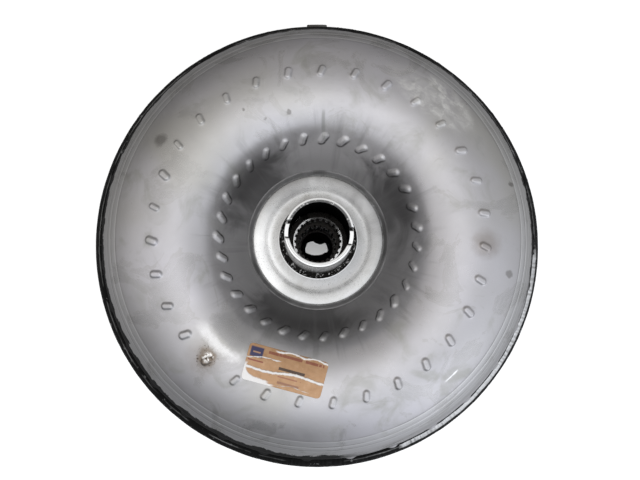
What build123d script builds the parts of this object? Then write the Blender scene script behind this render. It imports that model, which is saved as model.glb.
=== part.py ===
from build123d import *
import os
from math import asin, atan2, cos, degrees, hypot, radians, sin, sqrt

# Lock-up torque converter, millimetres.
# The axis of rotation is Z. z = 0 is the plane of the drive-lug pads (engine
# side) and +Z points to the transmission, along the pump-drive hub.
# Every profile and outline marked (radius, z) is drawn on the XZ plane.

os.makedirs("parts", exist_ok=True)

# ============================================================ shared dimensions
torus_r = 97.0  # mean radius of the fluid torus
split_z = 72.5  # plane between the impeller and the turbine
split_gap = 0.8  # from the split plane to the blades and core ring of each side

# stack along the axis: turbine hub, bearing, one-way clutch, bearing, impeller hub
bearing_h = 4
turbine_bearing_z = 53
clutch_z0 = turbine_bearing_z + bearing_h
clutch_z1 = clutch_z0 + 16
pump_bearing_z = clutch_z1
hub_flange_z0 = pump_bearing_z + bearing_h
hub_flange_z1 = hub_flange_z0 + 7.0

# impeller shell, pressed steel
shell_t = 3.0
shell_a, shell_b = 52.5, 60.0  # half axes of the outer wall
shell_z = 60.0  # height of its widest ring
shell_crest_z = shell_z + shell_b
shell_lip_r = torus_r + shell_a

# turbine shell, pressed steel
turb_t = 2.0
turb_a, turb_b = 47.6, 45.0
turb_crest_z = split_z - turb_b
turb_flange_z = 50.0  # engine-side face of the flange
turb_flange_r = 54.0

# throat of each shell, from the crest of the torus to its inner flange:
# control points of a cubic Bezier, (radius, z)
shell_throat = [
    (torus_r, shell_crest_z), (69.0, shell_crest_z), (57.0, 91.0), (45.0, hub_flange_z1),
]
turb_throat = [
    (torus_r, turb_crest_z), (72.0, turb_crest_z),
    (66.0, turb_flange_z), (turb_flange_r, turb_flange_z),
]

# core rings
core_a, core_b, core_t = 20.0, 17.0, 1.2

# blades: their angle changes as 1 - (blade_ref_r / r) ** sweep_power
dimple_inner_r, dimple_inner_deg = 66.8, 6.1
blade_ref_r = dimple_inner_r
sweep_power = 1.43
blade_gap = 0.4  # between a blade's edge and the shell or core ring
blade_exit_r = 78.6  # inner end of the blades at the split plane
blade_slab_h = 50  # tall enough to be trimmed to the passage

# front cover
rim_r = 155.0
cover_edge_z = 50.0
cover_face_z = 12.0
cover_t = 4
cover_bore_r = 30
cover_hub_z = 4  # engine-side face of the sunk centre
dish_r0, dish_r1 = 86, 96  # cone of the cover, followed by the piston

# lock-up piston and damper
piston_z, piston_t = 18.8, 3.5
turb_hub_r = 30.0
spring_count = 12
stop_pitch_r, stop_t, stop_l = 134, 3, 20  # tabs and stops between the springs
stop_start_deg = 180 / spring_count

# stator bore, seat of the one-way clutch
stator_hub_r0 = 40.0


# ============================================================ helpers
def save(name, piece):
    piece.label = name
    export_step(piece, f"parts/{name}.step")


def throat_point(throat, t, depth=0.0):
    """(radius, z) at t along a throat, depth off it towards -Z (negative: +Z)."""
    rest = 1 - t
    weights = (rest**3, 3 * rest * rest * t, 3 * rest * t * t, t**3)
    rates = (3 * rest * rest, 6 * rest * t, 3 * t * t)
    columns = list(zip(*throat))
    radius, z = (sum(w * value for w, value in zip(weights, col)) for col in columns)
    slope_r, slope_z = (
        sum(w * (after - before) for w, before, after in zip(rates, col, col[1:]))
        for col in columns
    )
    length = hypot(slope_r, slope_z)
    return radius - depth * slope_z / length, z + depth * slope_r / length


def throat_offset(throat, depth, end=1.0):
    """Nine points along a throat, from its crest to t = end."""
    return [throat_point(throat, end * i / 8, depth) for i in range(9)]


def shell_outer_z(radius):
    """Height of the impeller shell's elliptical outer wall."""
    return shell_z + shell_b * sqrt(1 - ((radius - torus_r) / shell_a) ** 2)


def draw_blade(inner_r, outer_r, sweep, start_deg, thick):
    """Draw a blade's outline, seen along the axis, in the open BuildLine."""
    one_face, other_face = [], []
    for i in range(8):
        radius = inner_r + (outer_r - inner_r) * i / 7
        ratio = (blade_ref_r / radius) ** sweep_power
        angle = radians(start_deg + sweep * (1 - ratio))
        turn = radians(sweep) * sweep_power * ratio  # radius * d angle / d radius
        x, y = radius * cos(angle), radius * sin(angle)
        tangent_x = cos(angle) - sin(angle) * turn
        tangent_y = sin(angle) + cos(angle) * turn
        scale = thick / 2 / hypot(tangent_x, tangent_y)
        one_face.append((x - tangent_y * scale, y + tangent_x * scale))
        other_face.append((x + tangent_y * scale, y - tangent_x * scale))
    Spline(*one_face)
    Line(one_face[-1], other_face[-1])
    Spline(*other_face[::-1])
    Line(other_face[0], one_face[0])


def flat_ring(z, outer_r, inner_r, thick):
    with BuildPart() as ring:
        with BuildSketch(Plane.XY.offset(z)):
            Circle(outer_r)
            Circle(inner_r, mode=Mode.SUBTRACT)
        extrude(amount=thick)
    return ring.part


def around_axis(piece, count):
    with BuildPart() as ring:
        with PolarLocations(0, count):
            add(piece)
    return ring.part


def core_half(side):
    """Half of the hollow core ring: side 1 lies above the split plane, -1 below."""
    cutter_w, cutter_h = 60, 50
    with BuildPart() as half:
        with BuildSketch(Plane.XZ):
            with Locations((torus_r, split_z)):
                Ellipse(core_a, core_b)
                Ellipse(core_a - core_t, core_b - core_t, mode=Mode.SUBTRACT)
            with Locations((torus_r, split_z + side * (split_gap - cutter_h / 2))):
                Rectangle(cutter_w, cutter_h, mode=Mode.SUBTRACT)
        revolve(axis=Axis.Z)
    return half.part


# ============================================================ impeller shell
shell_lip_z = 40.0  # lower edge, inside the cover
lip_draft = 0.15
pump_blade_count = 31
shoulder_line_radii = (142.5, 148.2)
shoulder_line_r = 0.45  # radius of each line's round section

dimple_outer_r, dimple_outer_deg = 111.3, 7.7
dimple_h = 1.5
bump_root = 1.0  # how deep each raised capsule starts inside the wall
lip_bump_z, lip_bump_h = 60.0, 1.4

# where the dimples sit on the outer wall: (radius, z) point and outward normal
outer_point = (dimple_outer_r, shell_outer_z(dimple_outer_r))
gradient_r = (outer_point[0] - torus_r) / shell_a**2
gradient_z = (outer_point[1] - shell_z) / shell_b**2
gradient = hypot(gradient_r, gradient_z)
outer_normal = (gradient_r / gradient, gradient_z / gradient)

inner_t = min(
    (i / 400 for i in range(401)),
    key=lambda t: abs(throat_point(shell_throat, t)[0] - dimple_inner_r),
)
inner_point = throat_point(shell_throat, inner_t)
below_inner = throat_point(shell_throat, inner_t, 1.0)
inner_normal = (inner_point[0] - below_inner[0], inner_point[1] - below_inner[1])


def wall_seat(point, normal):
    """Sketch plane along the wall, bump_root inside it."""
    (radius, z), (normal_r, normal_z) = point, normal
    return Plane(
        origin=(radius - bump_root * normal_r, 0, z - bump_root * normal_z),
        x_dir=(normal_z, 0, -normal_r),
        z_dir=(normal_r, 0, normal_z),
    )


def raised_capsule(seat, length, width, height, edge_r, slant=0):
    """Capsule standing height above the wall, its top edge rounded."""
    with BuildPart() as capsule:
        with BuildSketch(seat):
            SlotOverall(length, width, rotation=slant)
        extrude(amount=bump_root + height)
        top = capsule.faces().sort_by(Axis((0, 0, 0), seat.z_dir))[-1]
        fillet(top.edges(), edge_r)
    return capsule.part


# dimples mark where the blade tabs sit: outer row, and inner row on the throat
outer_dimple = raised_capsule(
    wall_seat(outer_point, outer_normal), 8.6, 4.4, dimple_h, edge_r=1.2, slant=-17.0
)
inner_dimple = raised_capsule(
    wall_seat(inner_point, inner_normal), 9.0, 3.8, dimple_h, edge_r=1.1, slant=-30.0
)
lip_seat = Plane(
    origin=(shell_lip_r - bump_root, 0, lip_bump_z), x_dir=(0, 1, 0), z_dir=(1, 0, 0)
)
lip_bump = raised_capsule(lip_seat, 8.5, 5.0, lip_bump_h, edge_r=1.1)

with BuildPart() as impeller_shell:
    lip_inner_r = shell_lip_r - shell_t
    with BuildSketch(Plane.XZ):
        with BuildLine():
            Line((shell_lip_r, shell_lip_z), (shell_lip_r, shell_z))
            EllipticalCenterArc(
                (torus_r, shell_z), shell_a, shell_b, start_angle=0, arc_size=90
            )
            Bezier(*shell_throat)
            Line(shell_throat[-1], throat_point(shell_throat, 1.0, shell_t))
            Spline(*throat_offset(shell_throat, shell_t)[::-1])
            EllipticalCenterArc(
                (torus_r, shell_z),
                shell_a - shell_t,
                shell_b - shell_t,
                start_angle=0,
                arc_size=90,
            )
            # the pressing's lip has a slight draft inside
            Line((lip_inner_r, shell_z), (lip_inner_r + lip_draft, shell_lip_z))
            Line((lip_inner_r + lip_draft, shell_lip_z), (shell_lip_r, shell_lip_z))
        make_face()
    revolve(axis=Axis.Z)
    # two fine lines turned around the shoulder
    with BuildSketch(Plane.XZ):
        for line_r in shoulder_line_radii:
            with Locations((line_r, shell_outer_z(line_r))):
                Circle(shoulder_line_r)
    revolve(axis=Axis.Z, mode=Mode.SUBTRACT)
    with PolarLocations(0, pump_blade_count, start_angle=dimple_outer_deg):
        add(outer_dimple)
    with PolarLocations(0, pump_blade_count, start_angle=dimple_inner_deg):
        add(inner_dimple)
    with PolarLocations(0, pump_blade_count):
        add(lip_bump)
save("impeller_shell", impeller_shell.part)

# ============================================================ pump-drive hub
hub_od_r, hub_bore_r = 23.0, 20.0
hub_tip_z = 140.3
hub_flange_r = 44.9
hub_collar_r = 27.4
slot_w, slot_depth, slot_deg = 12.0, 11.0, -6.5
slot_cutter_l = 60  # longer than the hub is wide

# (radius, z)
impeller_hub_outline = [
    (hub_bore_r, hub_flange_z0),
    (hub_flange_r, hub_flange_z0),
    (hub_flange_r, hub_flange_z1 - 0.6),
    (hub_flange_r - 0.6, hub_flange_z1),
    (34.6, hub_flange_z1),
    (33.2, hub_flange_z1 - 0.3),
    (hub_collar_r, hub_flange_z1 + 1.3),
    (hub_collar_r - 0.8, hub_flange_z1 + 1.6),
    (hub_collar_r - 2.1, hub_flange_z1 + 0.6),
    (hub_od_r, hub_flange_z1 + 0.6),
    (hub_od_r, hub_tip_z - 0.8),
    (hub_od_r - 0.8, hub_tip_z),
    (hub_bore_r + 0.6, hub_tip_z),
    (hub_bore_r, hub_tip_z - 0.6),
]

with BuildPart() as impeller_hub:
    with BuildSketch(Plane.XZ):
        with BuildLine():
            Polyline(*impeller_hub_outline, close=True)
        make_face()
    revolve(axis=Axis.Z)
    # the pump's drive slots, through the wall on both sides
    with BuildSketch(Plane.XY.offset(hub_tip_z - slot_depth)):
        Rectangle(slot_cutter_l, slot_w, rotation=slot_deg)
    extrude(amount=slot_depth + 1, mode=Mode.SUBTRACT)
save("impeller_hub", impeller_hub.part)

# bead over the joint of hub flange and shell, (radius, z)
bead_inner = (43.6, hub_flange_z1 + 0.02)
bead_outer = (48.4, hub_flange_z1 + 0.02)
bead_top = (46.4, hub_flange_z1 + 2.0)

with BuildPart() as hub_weld:
    with BuildSketch(Plane.XZ):
        with BuildLine():
            Line(bead_inner, bead_outer)
            ThreePointArc(bead_outer, bead_top, bead_inner)
        make_face()
    revolve(axis=Axis.Z)
    add(impeller_shell.part, mode=Mode.SUBTRACT)
save("hub_weld", hub_weld.part)

# ============================================================ impeller blades and core
shell_tab_w, shell_tab_h = 6.5, 2.2
shell_tab_depth = 2.9  # tab centre below the shell's outer wall
core_tab_w, core_tab_h = 7.0, 3.4
core_tab_inset = 0.6  # tab centre inside the core ring's outer surface
pump_exit_z = 79.5  # upper end of the blade's straight inner edge

with BuildPart() as pump_blade:
    with BuildSketch(Plane.XY.offset(split_z)):
        with BuildLine():
            draw_blade(56.0, 150.0, sweep=-19.15, start_deg=dimple_inner_deg, thick=1.2)
        make_face()
    extrude(amount=blade_slab_h)
    # passage between shell and core ring, with tabs into both
    passage_a = shell_a - shell_t - blade_gap
    passage_b = shell_b - shell_t - blade_gap
    passage_z = split_z + split_gap
    start_angle = degrees(asin((passage_z - shell_z) / passage_b))
    inner_edge = throat_offset(shell_throat, shell_t + blade_gap, end=0.64)
    with BuildSketch(Plane.XZ):
        with BuildLine():
            EllipticalCenterArc(
                (torus_r, shell_z),
                passage_a,
                passage_b,
                start_angle=start_angle,
                arc_size=90 - start_angle,
            )
            Spline(*inner_edge)
            Line(inner_edge[-1], (blade_exit_r, pump_exit_z))
            Line((blade_exit_r, pump_exit_z), (blade_exit_r, passage_z))
            Line(
                (blade_exit_r, passage_z),
                (torus_r + passage_a * cos(radians(start_angle)), passage_z),
            )
        make_face()
        with Locations((torus_r, split_z)):
            Ellipse(core_a + blade_gap, core_b + blade_gap, mode=Mode.SUBTRACT)
        for (point_r, point_z), (normal_r, normal_z) in (
            (outer_point, outer_normal),
            (inner_point, inner_normal),
        ):
            tab_r = point_r - shell_tab_depth * normal_r
            tab_z = point_z - shell_tab_depth * normal_z
            with Locations((tab_r, tab_z)):
                tab_angle = degrees(atan2(-normal_r, normal_z))
                Rectangle(shell_tab_w, shell_tab_h, rotation=tab_angle)
        with Locations((torus_r, split_z + core_b - core_tab_inset)):
            Rectangle(core_tab_w, core_tab_h)
    revolve(axis=Axis.Z, mode=Mode.INTERSECT)
save("impeller_blades", around_axis(pump_blade.part, pump_blade_count))

save("impeller_core", core_half(1))

# ============================================================ label on the impeller
label_l, label_w, label_corner_r = 54, 25, 2.5
label_x, label_y, label_deg = -22.5, -89.7, -15
label_t = 0.25
label_z0, label_cut_h = 85, 40  # upright block that is cut down to the foil
skin_start_deg = 30
skin_base_z = 70

with BuildPart() as id_label:
    # foil following the crest of the shell
    with BuildSketch(Plane.XY.offset(label_z0)):
        with Locations((label_x, label_y)):
            RectangleRounded(label_l, label_w, label_corner_r, rotation=label_deg)
    extrude(amount=label_cut_h)
    # keep what lies under the foil's outer skin, then remove the shell's volume
    for lift, mode in ((label_t, Mode.INTERSECT), (0.0, Mode.SUBTRACT)):
        skin = throat_offset(shell_throat, -lift, end=0.6)
        skin_a, skin_b = shell_a + lift, shell_b + lift
        skin_outer_r = torus_r + skin_a * cos(radians(skin_start_deg))
        skin_outer_z = shell_z + skin_b * sin(radians(skin_start_deg))
        with BuildSketch(Plane.XZ):
            with BuildLine():
                EllipticalCenterArc(
                    (torus_r, shell_z),
                    skin_a,
                    skin_b,
                    start_angle=skin_start_deg,
                    arc_size=90 - skin_start_deg,
                )
                Spline(*skin)
                Line(skin[-1], (skin[-1][0], skin_base_z))
                Line((skin[-1][0], skin_base_z), (skin_outer_r, skin_base_z))
                Line((skin_outer_r, skin_base_z), (skin_outer_r, skin_outer_z))
            make_face()
        revolve(axis=Axis.Z, mode=mode)
save("id_label", id_label.part)

# ============================================================ front cover
corner_r, corner_inner_r = 10, 6
corner_z = cover_face_z + corner_r
rim_t = 5
rim_draft = 0.15
rim_inner_r = rim_r - rim_t
floor_z = cover_face_z + cover_t  # inner faces of the flat annulus and of the centre
cover_hub_top_z = cover_hub_z + cover_t
bore_draft = 0.15

with BuildPart() as front_cover:
    corner_outer_start = (rim_r - corner_r, cover_face_z)
    corner_inner_end = (rim_inner_r - corner_inner_r, floor_z)
    diagonal = sin(radians(45))
    with BuildSketch(Plane.XZ):
        with BuildLine():
            Polyline(
                (cover_bore_r, cover_hub_z),
                (dish_r0, cover_hub_z),
                (dish_r1, cover_face_z),
                corner_outer_start,
            )
            ThreePointArc(
                corner_outer_start,
                (rim_r - corner_r + corner_r * diagonal, corner_z - corner_r * diagonal),
                (rim_r, corner_z),
            )
            Polyline(
                (rim_r, corner_z),
                (rim_r, cover_edge_z),
                (rim_inner_r + rim_draft, cover_edge_z),
                (rim_inner_r, corner_z),
            )
            ThreePointArc(
                (rim_inner_r, corner_z),
                (
                    corner_inner_end[0] + corner_inner_r * diagonal,
                    corner_z - corner_inner_r * diagonal,
                ),
                corner_inner_end,
            )
            Polyline(
                corner_inner_end,
                (dish_r1, floor_z),
                (dish_r0, cover_hub_top_z),
                (cover_bore_r + bore_draft, cover_hub_top_z),
                (cover_bore_r, cover_hub_z),
            )
        make_face()
    revolve(axis=Axis.Z)
save("front_cover", front_cover.part)

# ============================================================ crankshaft pilot
pilot_r, pilot_z = 23.0, -12.0
pilot_flange_r = cover_bore_r - 0.05

# (radius, z)
pilot_outline = [
    (0, 5.5),
    (8, 5.5),
    (12, cover_hub_top_z),
    (pilot_flange_r, cover_hub_top_z),
    (pilot_flange_r, cover_hub_z),
    (26, cover_hub_z),
    (pilot_r, 2.5),
    (pilot_r, pilot_z + 1.2),
    (pilot_r - 1.2, pilot_z),
    (9, pilot_z),
    (7, pilot_z + 3),
    (0, pilot_z + 3),
]

with BuildPart() as crank_pilot:
    with BuildSketch(Plane.XZ):
        with BuildLine():
            Polyline(*pilot_outline, close=True)
        make_face()
    revolve(axis=Axis.Z)
save("crank_pilot", crank_pilot.part)

# ============================================================ drive lugs
lug_pitch_r, lug_count, lug_start_deg = 127.0, 4, 45
lug_w, lug_l, lug_corner_r = 22.0, 30.0, 4
lug_hole_r = 4.25
lug_chamfer = 0.8
weld_leg = 2.4
weld_corner_r = 6
weld_taper = 40
weld_core_h = 4  # height of the cut that clears the lug out of its weld

with BuildPart() as drive_lugs:
    with BuildSketch(Plane.XY):
        with PolarLocations(lug_pitch_r, lug_count, start_angle=lug_start_deg):
            RectangleRounded(lug_w, lug_l, lug_corner_r)
    extrude(amount=cover_face_z)
    chamfer(drive_lugs.faces().sort_by(Axis.Z)[0:lug_count].edges(), lug_chamfer)
    # drilled on a plane facing the engine, so the angles run the other way
    with Locations(Plane(origin=(0, 0, 0), x_dir=(1, 0, 0), z_dir=(0, 0, -1))):
        with PolarLocations(lug_pitch_r, lug_count, start_angle=-lug_start_deg):
            Hole(lug_hole_r, depth=cover_face_z)
save("drive_lugs", drive_lugs.part)

with BuildPart() as lug_welds:
    # fillet weld around the foot of each lug
    with BuildSketch(Plane.XY.offset(cover_face_z)):
        with PolarLocations(lug_pitch_r, lug_count, start_angle=lug_start_deg):
            RectangleRounded(lug_w + 2 * weld_leg, lug_l + 2 * weld_leg, weld_corner_r)
    extrude(amount=-weld_leg, taper=weld_taper)
    with BuildSketch(Plane.XY.offset(cover_face_z - weld_core_h)):
        with PolarLocations(lug_pitch_r, lug_count, start_angle=lug_start_deg):
            RectangleRounded(lug_w, lug_l, lug_corner_r)
    extrude(amount=weld_core_h, mode=Mode.SUBTRACT)
save("lug_welds", lug_welds.part)

# ============================================================ outside of the rim
weight_angle = radians(87.4)
weight_arc_deg = 5.2
weight_t, weight_h, weight_z = 2.2, 14, 38

with BuildPart() as balance_weight:
    with BuildSketch(
        Plane(
            origin=(0, 0, 0),
            x_dir=(cos(weight_angle), sin(weight_angle), 0),
            z_dir=(sin(weight_angle), -cos(weight_angle), 0),
        )
    ):
        with Locations((rim_r + weight_t / 2, weight_z)):
            Rectangle(weight_t, weight_h)
    revolve(axis=Axis.Z, revolution_arc=weight_arc_deg)
save("balance_weight", balance_weight.part)

# weld between the cover's edge and the impeller shell, (radius, z)
seam_root = (shell_lip_r, cover_edge_z)
seam_outer = (rim_r - 0.3, cover_edge_z)
seam_middle = (153.2, 54.4)
seam_top = (shell_lip_r, 57.0)

with BuildPart() as seam_weld:
    with BuildSketch(Plane.XZ):
        with BuildLine():
            Line(seam_root, seam_outer)
            ThreePointArc(seam_outer, seam_middle, seam_top)
            Line(seam_top, seam_root)
        make_face()
    revolve(axis=Axis.Z)
save("seam_weld", seam_weld.part)

# ============================================================ cover thrust washer
washer_r, washer_bore_r, washer_t = 29, 14, 1.9
oil_groove_count, oil_groove_pitch_r = 6, 21.5
oil_groove_l, oil_groove_w = 18, 2
oil_groove_z = 9.3

with BuildPart() as cover_thrust_washer:
    with BuildSketch(Plane.XY.offset(cover_hub_top_z)):
        Circle(washer_r)
        Circle(washer_bore_r, mode=Mode.SUBTRACT)
    extrude(amount=washer_t)
    # oil grooves
    with BuildSketch(Plane.XY.offset(oil_groove_z)):
        with PolarLocations(oil_groove_pitch_r, oil_groove_count):
            Rectangle(oil_groove_l, oil_groove_w)
    extrude(amount=1, mode=Mode.SUBTRACT)
save("cover_thrust_washer", cover_thrust_washer.part)

# ============================================================ turbine shell
turb_arc_start, turb_arc_deg = 270, 89  # the wall stops 1 degree below the split plane
turb_bore_r = 38
rivet_count, rivet_pitch_r, rivet_hole_r = 12, 44, 3.0

with BuildPart() as turbine_shell:
    end_angle = radians(turb_arc_start + turb_arc_deg)
    inner_a, inner_b = turb_a - turb_t, turb_b - turb_t
    with BuildSketch(Plane.XZ):
        with BuildLine():
            EllipticalCenterArc(
                (torus_r, split_z),
                turb_a,
                turb_b,
                start_angle=turb_arc_start,
                arc_size=turb_arc_deg,
            )
            Bezier(*turb_throat)
            Polyline(
                (turb_flange_r, turb_flange_z),
                (turb_bore_r, turb_flange_z),
                (turb_bore_r, turb_flange_z + turb_t),
                (turb_flange_r, turb_flange_z + turb_t),
            )
            Spline(*throat_offset(turb_throat, -turb_t)[::-1])
            EllipticalCenterArc(
                (torus_r, split_z),
                inner_a,
                inner_b,
                start_angle=turb_arc_start,
                arc_size=turb_arc_deg,
            )
            Line(
                (torus_r + inner_a * cos(end_angle), split_z + inner_b * sin(end_angle)),
                (torus_r + turb_a * cos(end_angle), split_z + turb_b * sin(end_angle)),
            )
        make_face()
    revolve(axis=Axis.Z)
    with BuildSketch(Plane.XY.offset(turb_flange_z - 1)):
        with PolarLocations(rivet_pitch_r, rivet_count):
            Circle(rivet_hole_r)
    extrude(amount=turb_t + 2, mode=Mode.SUBTRACT)
save("turbine_shell", turbine_shell.part)

# ============================================================ turbine blades and core
turb_blade_count = 29
turb_slab_z = 26
turb_tab_w, turb_tab_h = 7.0, 2.6
turb_tab_lift = 0.1  # tab centre above the shell's inner wall
turb_exit_z = 61.0  # lower end of the blade's straight inner edge

with BuildPart() as turb_blade:
    with BuildSketch(Plane.XY.offset(turb_slab_z)):
        with BuildLine():
            draw_blade(56.0, 148.0, sweep=24.0, start_deg=0.0, thick=1.0)
        make_face()
    extrude(amount=blade_slab_h)
    # passage between shell and core ring, with tabs into both
    passage_a = turb_a - turb_t - blade_gap
    passage_b = turb_b - turb_t - blade_gap
    passage_z = split_z - split_gap
    end_angle = 360 - degrees(asin((split_z - passage_z) / passage_b))
    inner_edge = throat_offset(turb_throat, -(turb_t + blade_gap), end=0.8)
    with BuildSketch(Plane.XZ):
        with BuildLine():
            EllipticalCenterArc(
                (torus_r, split_z),
                passage_a,
                passage_b,
                start_angle=270,
                arc_size=end_angle - 270,
            )
            Spline(*inner_edge)
            Line(inner_edge[-1], (blade_exit_r, turb_exit_z))
            Line((blade_exit_r, turb_exit_z), (blade_exit_r, passage_z))
            Line(
                (blade_exit_r, passage_z),
                (torus_r + passage_a * cos(radians(end_angle)), passage_z),
            )
        make_face()
        with Locations((torus_r, split_z)):
            Ellipse(core_a + blade_gap, core_b + blade_gap, mode=Mode.SUBTRACT)
        with Locations((torus_r, turb_crest_z + turb_t + turb_tab_lift)):
            Rectangle(turb_tab_w, turb_tab_h)
        with Locations((torus_r, split_z - core_b + core_tab_inset)):
            Rectangle(core_tab_w, core_tab_h)
    revolve(axis=Axis.Z, mode=Mode.INTERSECT)
save("turbine_blades", around_axis(turb_blade.part, turb_blade_count))

save("turbine_core", core_half(-1))

# ============================================================ turbine hub
hub_plate_z = 43.0  # engine-side face of the riveted flange
shaft_bore_r = 12.2
shaft_spline_count, shaft_spline_depth, shaft_spline_w = 22, 2.2, 1.6
shaft_spline_z, shaft_spline_h = 21, 33

# (radius, z)
turbine_hub_outline = [
    (11.5, 10.0),
    (turb_hub_r, 10.0),
    # groove of the piston seal ring
    (turb_hub_r, 15.9),
    (27.5, 15.9),
    (27.5, 19.1),
    (turb_hub_r, 19.1),
    # flange under the turbine shell
    (turb_hub_r, hub_plate_z),
    (50.0, hub_plate_z),
    (50.0, turb_flange_z),
    (37.7, turb_flange_z),
    (37.7, turbine_bearing_z),
    # bore
    (shaft_bore_r, turbine_bearing_z),
    (shaft_bore_r, 20.0),
    (11.5, 20.0),
]

with BuildPart() as turbine_hub:
    with BuildSketch(Plane.XZ):
        with BuildLine():
            Polyline(*turbine_hub_outline, close=True)
        make_face()
    revolve(axis=Axis.Z)
    # input-shaft spline
    with BuildSketch(Plane.XY.offset(shaft_spline_z)):
        with PolarLocations(shaft_bore_r, shaft_spline_count):
            Rectangle(shaft_spline_depth, shaft_spline_w)
    extrude(amount=shaft_spline_h, mode=Mode.SUBTRACT)
    with BuildSketch(Plane.XY.offset(hub_plate_z - 1)):
        with PolarLocations(rivet_pitch_r, rivet_count):
            Circle(rivet_hole_r)
    extrude(amount=turb_flange_z - hub_plate_z + 2, mode=Mode.SUBTRACT)
save("turbine_hub", turbine_hub.part)

# rivets through hub and shell: lower head, shank, upper head
rivet_head_r, rivet_head_h = 4.6, 1.8
rivet_shank_r = 2.95
rivet_sections = [  # (z, radius, height)
    (hub_plate_z - rivet_head_h, rivet_head_r, rivet_head_h),
    (hub_plate_z - 0.5, rivet_shank_r, 10),
    (turb_flange_z + turb_t, rivet_head_r, rivet_head_h),
]

with BuildPart() as turbine_rivets:
    for section_z, section_r, section_h in rivet_sections:
        with BuildSketch(Plane.XY.offset(section_z)):
            with PolarLocations(rivet_pitch_r, rivet_count):
                Circle(section_r)
        extrude(amount=section_h)
save("turbine_rivets", turbine_rivets.part)

# ============================================================ drive tabs
tab_z, tab_cut_h = 32, 20  # upright blocks, trimmed by the turbine shell

with BuildPart() as drive_tabs:
    # welded under the turbine, one between each two damper springs
    with BuildSketch(Plane.XY.offset(tab_z)):
        with PolarLocations(stop_pitch_r, spring_count, start_angle=stop_start_deg):
            Rectangle(stop_t, stop_l)
    extrude(amount=tab_cut_h)
    with BuildSketch(Plane.XZ):
        with Locations((torus_r, split_z)):
            Ellipse(turb_a, turb_b)
    revolve(axis=Axis.Z, mode=Mode.SUBTRACT)
save("drive_tabs", drive_tabs.part)

# ============================================================ lock-up clutch
piston_bore_r = turb_hub_r + 0.05
piston_collar_r = 34
piston_web_z = 11
piston_rim_r, piston_rim_inner_r, piston_rim_z = 146.9, 144.2, 36
lining_r, lining_inner_r, lining_t = 142, 108, 1.6
rim_slot_pitch_r, rim_slot_l, rim_slot_w = 145.5, 8, 12
rim_slot_z, rim_slot_h = 29, 8

# (radius, z)
piston_outline = [
    (piston_bore_r, 9.5),
    (piston_collar_r, 9.5),
    (piston_collar_r, piston_web_z),
    (dish_r0, piston_web_z),
    (dish_r1, piston_z),
    (piston_rim_r, piston_z),
    (piston_rim_r, piston_rim_z),
    (piston_rim_inner_r, piston_rim_z),
    (piston_rim_inner_r, piston_z + piston_t),
    (95.2, piston_z + piston_t),
    (84.9, piston_web_z + piston_t),
    (piston_collar_r, piston_web_z + piston_t),
    (piston_collar_r, 24),
    (piston_bore_r, 24),
]

with BuildPart() as lockup_piston:
    with BuildSketch(Plane.XZ):
        with BuildLine():
            Polyline(*piston_outline, close=True)
        make_face()
    revolve(axis=Axis.Z)
    # slots in the rim for the carrier's fingers
    with BuildSketch(Plane.XY.offset(rim_slot_z)):
        with PolarLocations(rim_slot_pitch_r, spring_count):
            Rectangle(rim_slot_l, rim_slot_w)
    extrude(amount=rim_slot_h, mode=Mode.SUBTRACT)
save("lockup_piston", lockup_piston.part)

save("piston_seal_ring", flat_ring(z=16, outer_r=30.03, inner_r=27.6, thick=3))
save("friction_lining", flat_ring(piston_z - lining_t, lining_r, lining_inner_r, lining_t))

# ============================================================ spring carrier
stop_z, stop_h = 24, 5.6
finger_pitch_r, finger_l, finger_w = 144.9, 4, 11.4
finger_z, finger_h = 31, 2.5

# open channel, (radius, z)
carrier_outline = [
    (124, 22.9), (143.6, 22.9), (143.6, 35), (142, 35),
    (142, 24.4), (125.6, 24.4), (125.6, 31), (124, 31),
]

with BuildPart() as spring_carrier:
    with BuildSketch(Plane.XZ):
        with BuildLine():
            Polyline(*carrier_outline, close=True)
        make_face()
    revolve(axis=Axis.Z)
    # spring stops
    with BuildSketch(Plane.XY.offset(stop_z)):
        with PolarLocations(stop_pitch_r, spring_count, start_angle=stop_start_deg):
            Rectangle(stop_t, stop_l)
    extrude(amount=stop_h)
    # fingers through the piston's rim
    with BuildSketch(Plane.XY.offset(finger_z)):
        with PolarLocations(finger_pitch_r, spring_count):
            Rectangle(finger_l, finger_w)
    extrude(amount=finger_h)
save("spring_carrier", spring_carrier.part)

# ============================================================ damper springs
spring_pitch_r, spring_z = 132.8, 31.2
spring_l, coil_pitch = 45.0, 4.3
coil_r, wire_r = 5.3, 1.15

with BuildPart() as damper_spring:
    with BuildLine() as coil:
        Helix(
            pitch=coil_pitch,
            height=spring_l,
            radius=coil_r,
            center=(spring_pitch_r, -spring_l / 2, spring_z),
            direction=(0, 1, 0),
        )
    with BuildSketch(Plane(origin=coil.line @ 0, z_dir=coil.line % 0)):
        Circle(wire_r)
    sweep(path=coil.line, is_frenet=True)
save("damper_springs", around_axis(damper_spring.part, spring_count))

# ============================================================ stator
stator_hub_r1 = 50.0
stator_ring_r0, stator_ring_r1 = 74.5, 76.5
stator_h = 18  # width of both hub and ring along the axis
stator_hub_z, stator_ring_z = 66, 71  # their mid-heights
stator_blade_count = 19
stator_blade_r0, stator_blade_l = 47.5, 27.6
snap_groove_w, snap_groove_h = 2.6, 1.3

# airfoil seen along its radius, (y, z): two long faces and a round at each end
airfoil_one_face = [(-2.6, 62.2), (-3.6, 66.5), (0.8, 73.0), (5.2, 78.6)]
airfoil_upper_round = [(5.2, 78.6), (5.5, 78.75), (5.6, 78.4)]
airfoil_other_face = [(5.6, 78.4), (3.6, 73.0), (2.6, 66.5), (1.6, 62.6)]
airfoil_lower_round = [(1.6, 62.6), (-0.6, 61.4), (-2.6, 62.2)]

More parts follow.
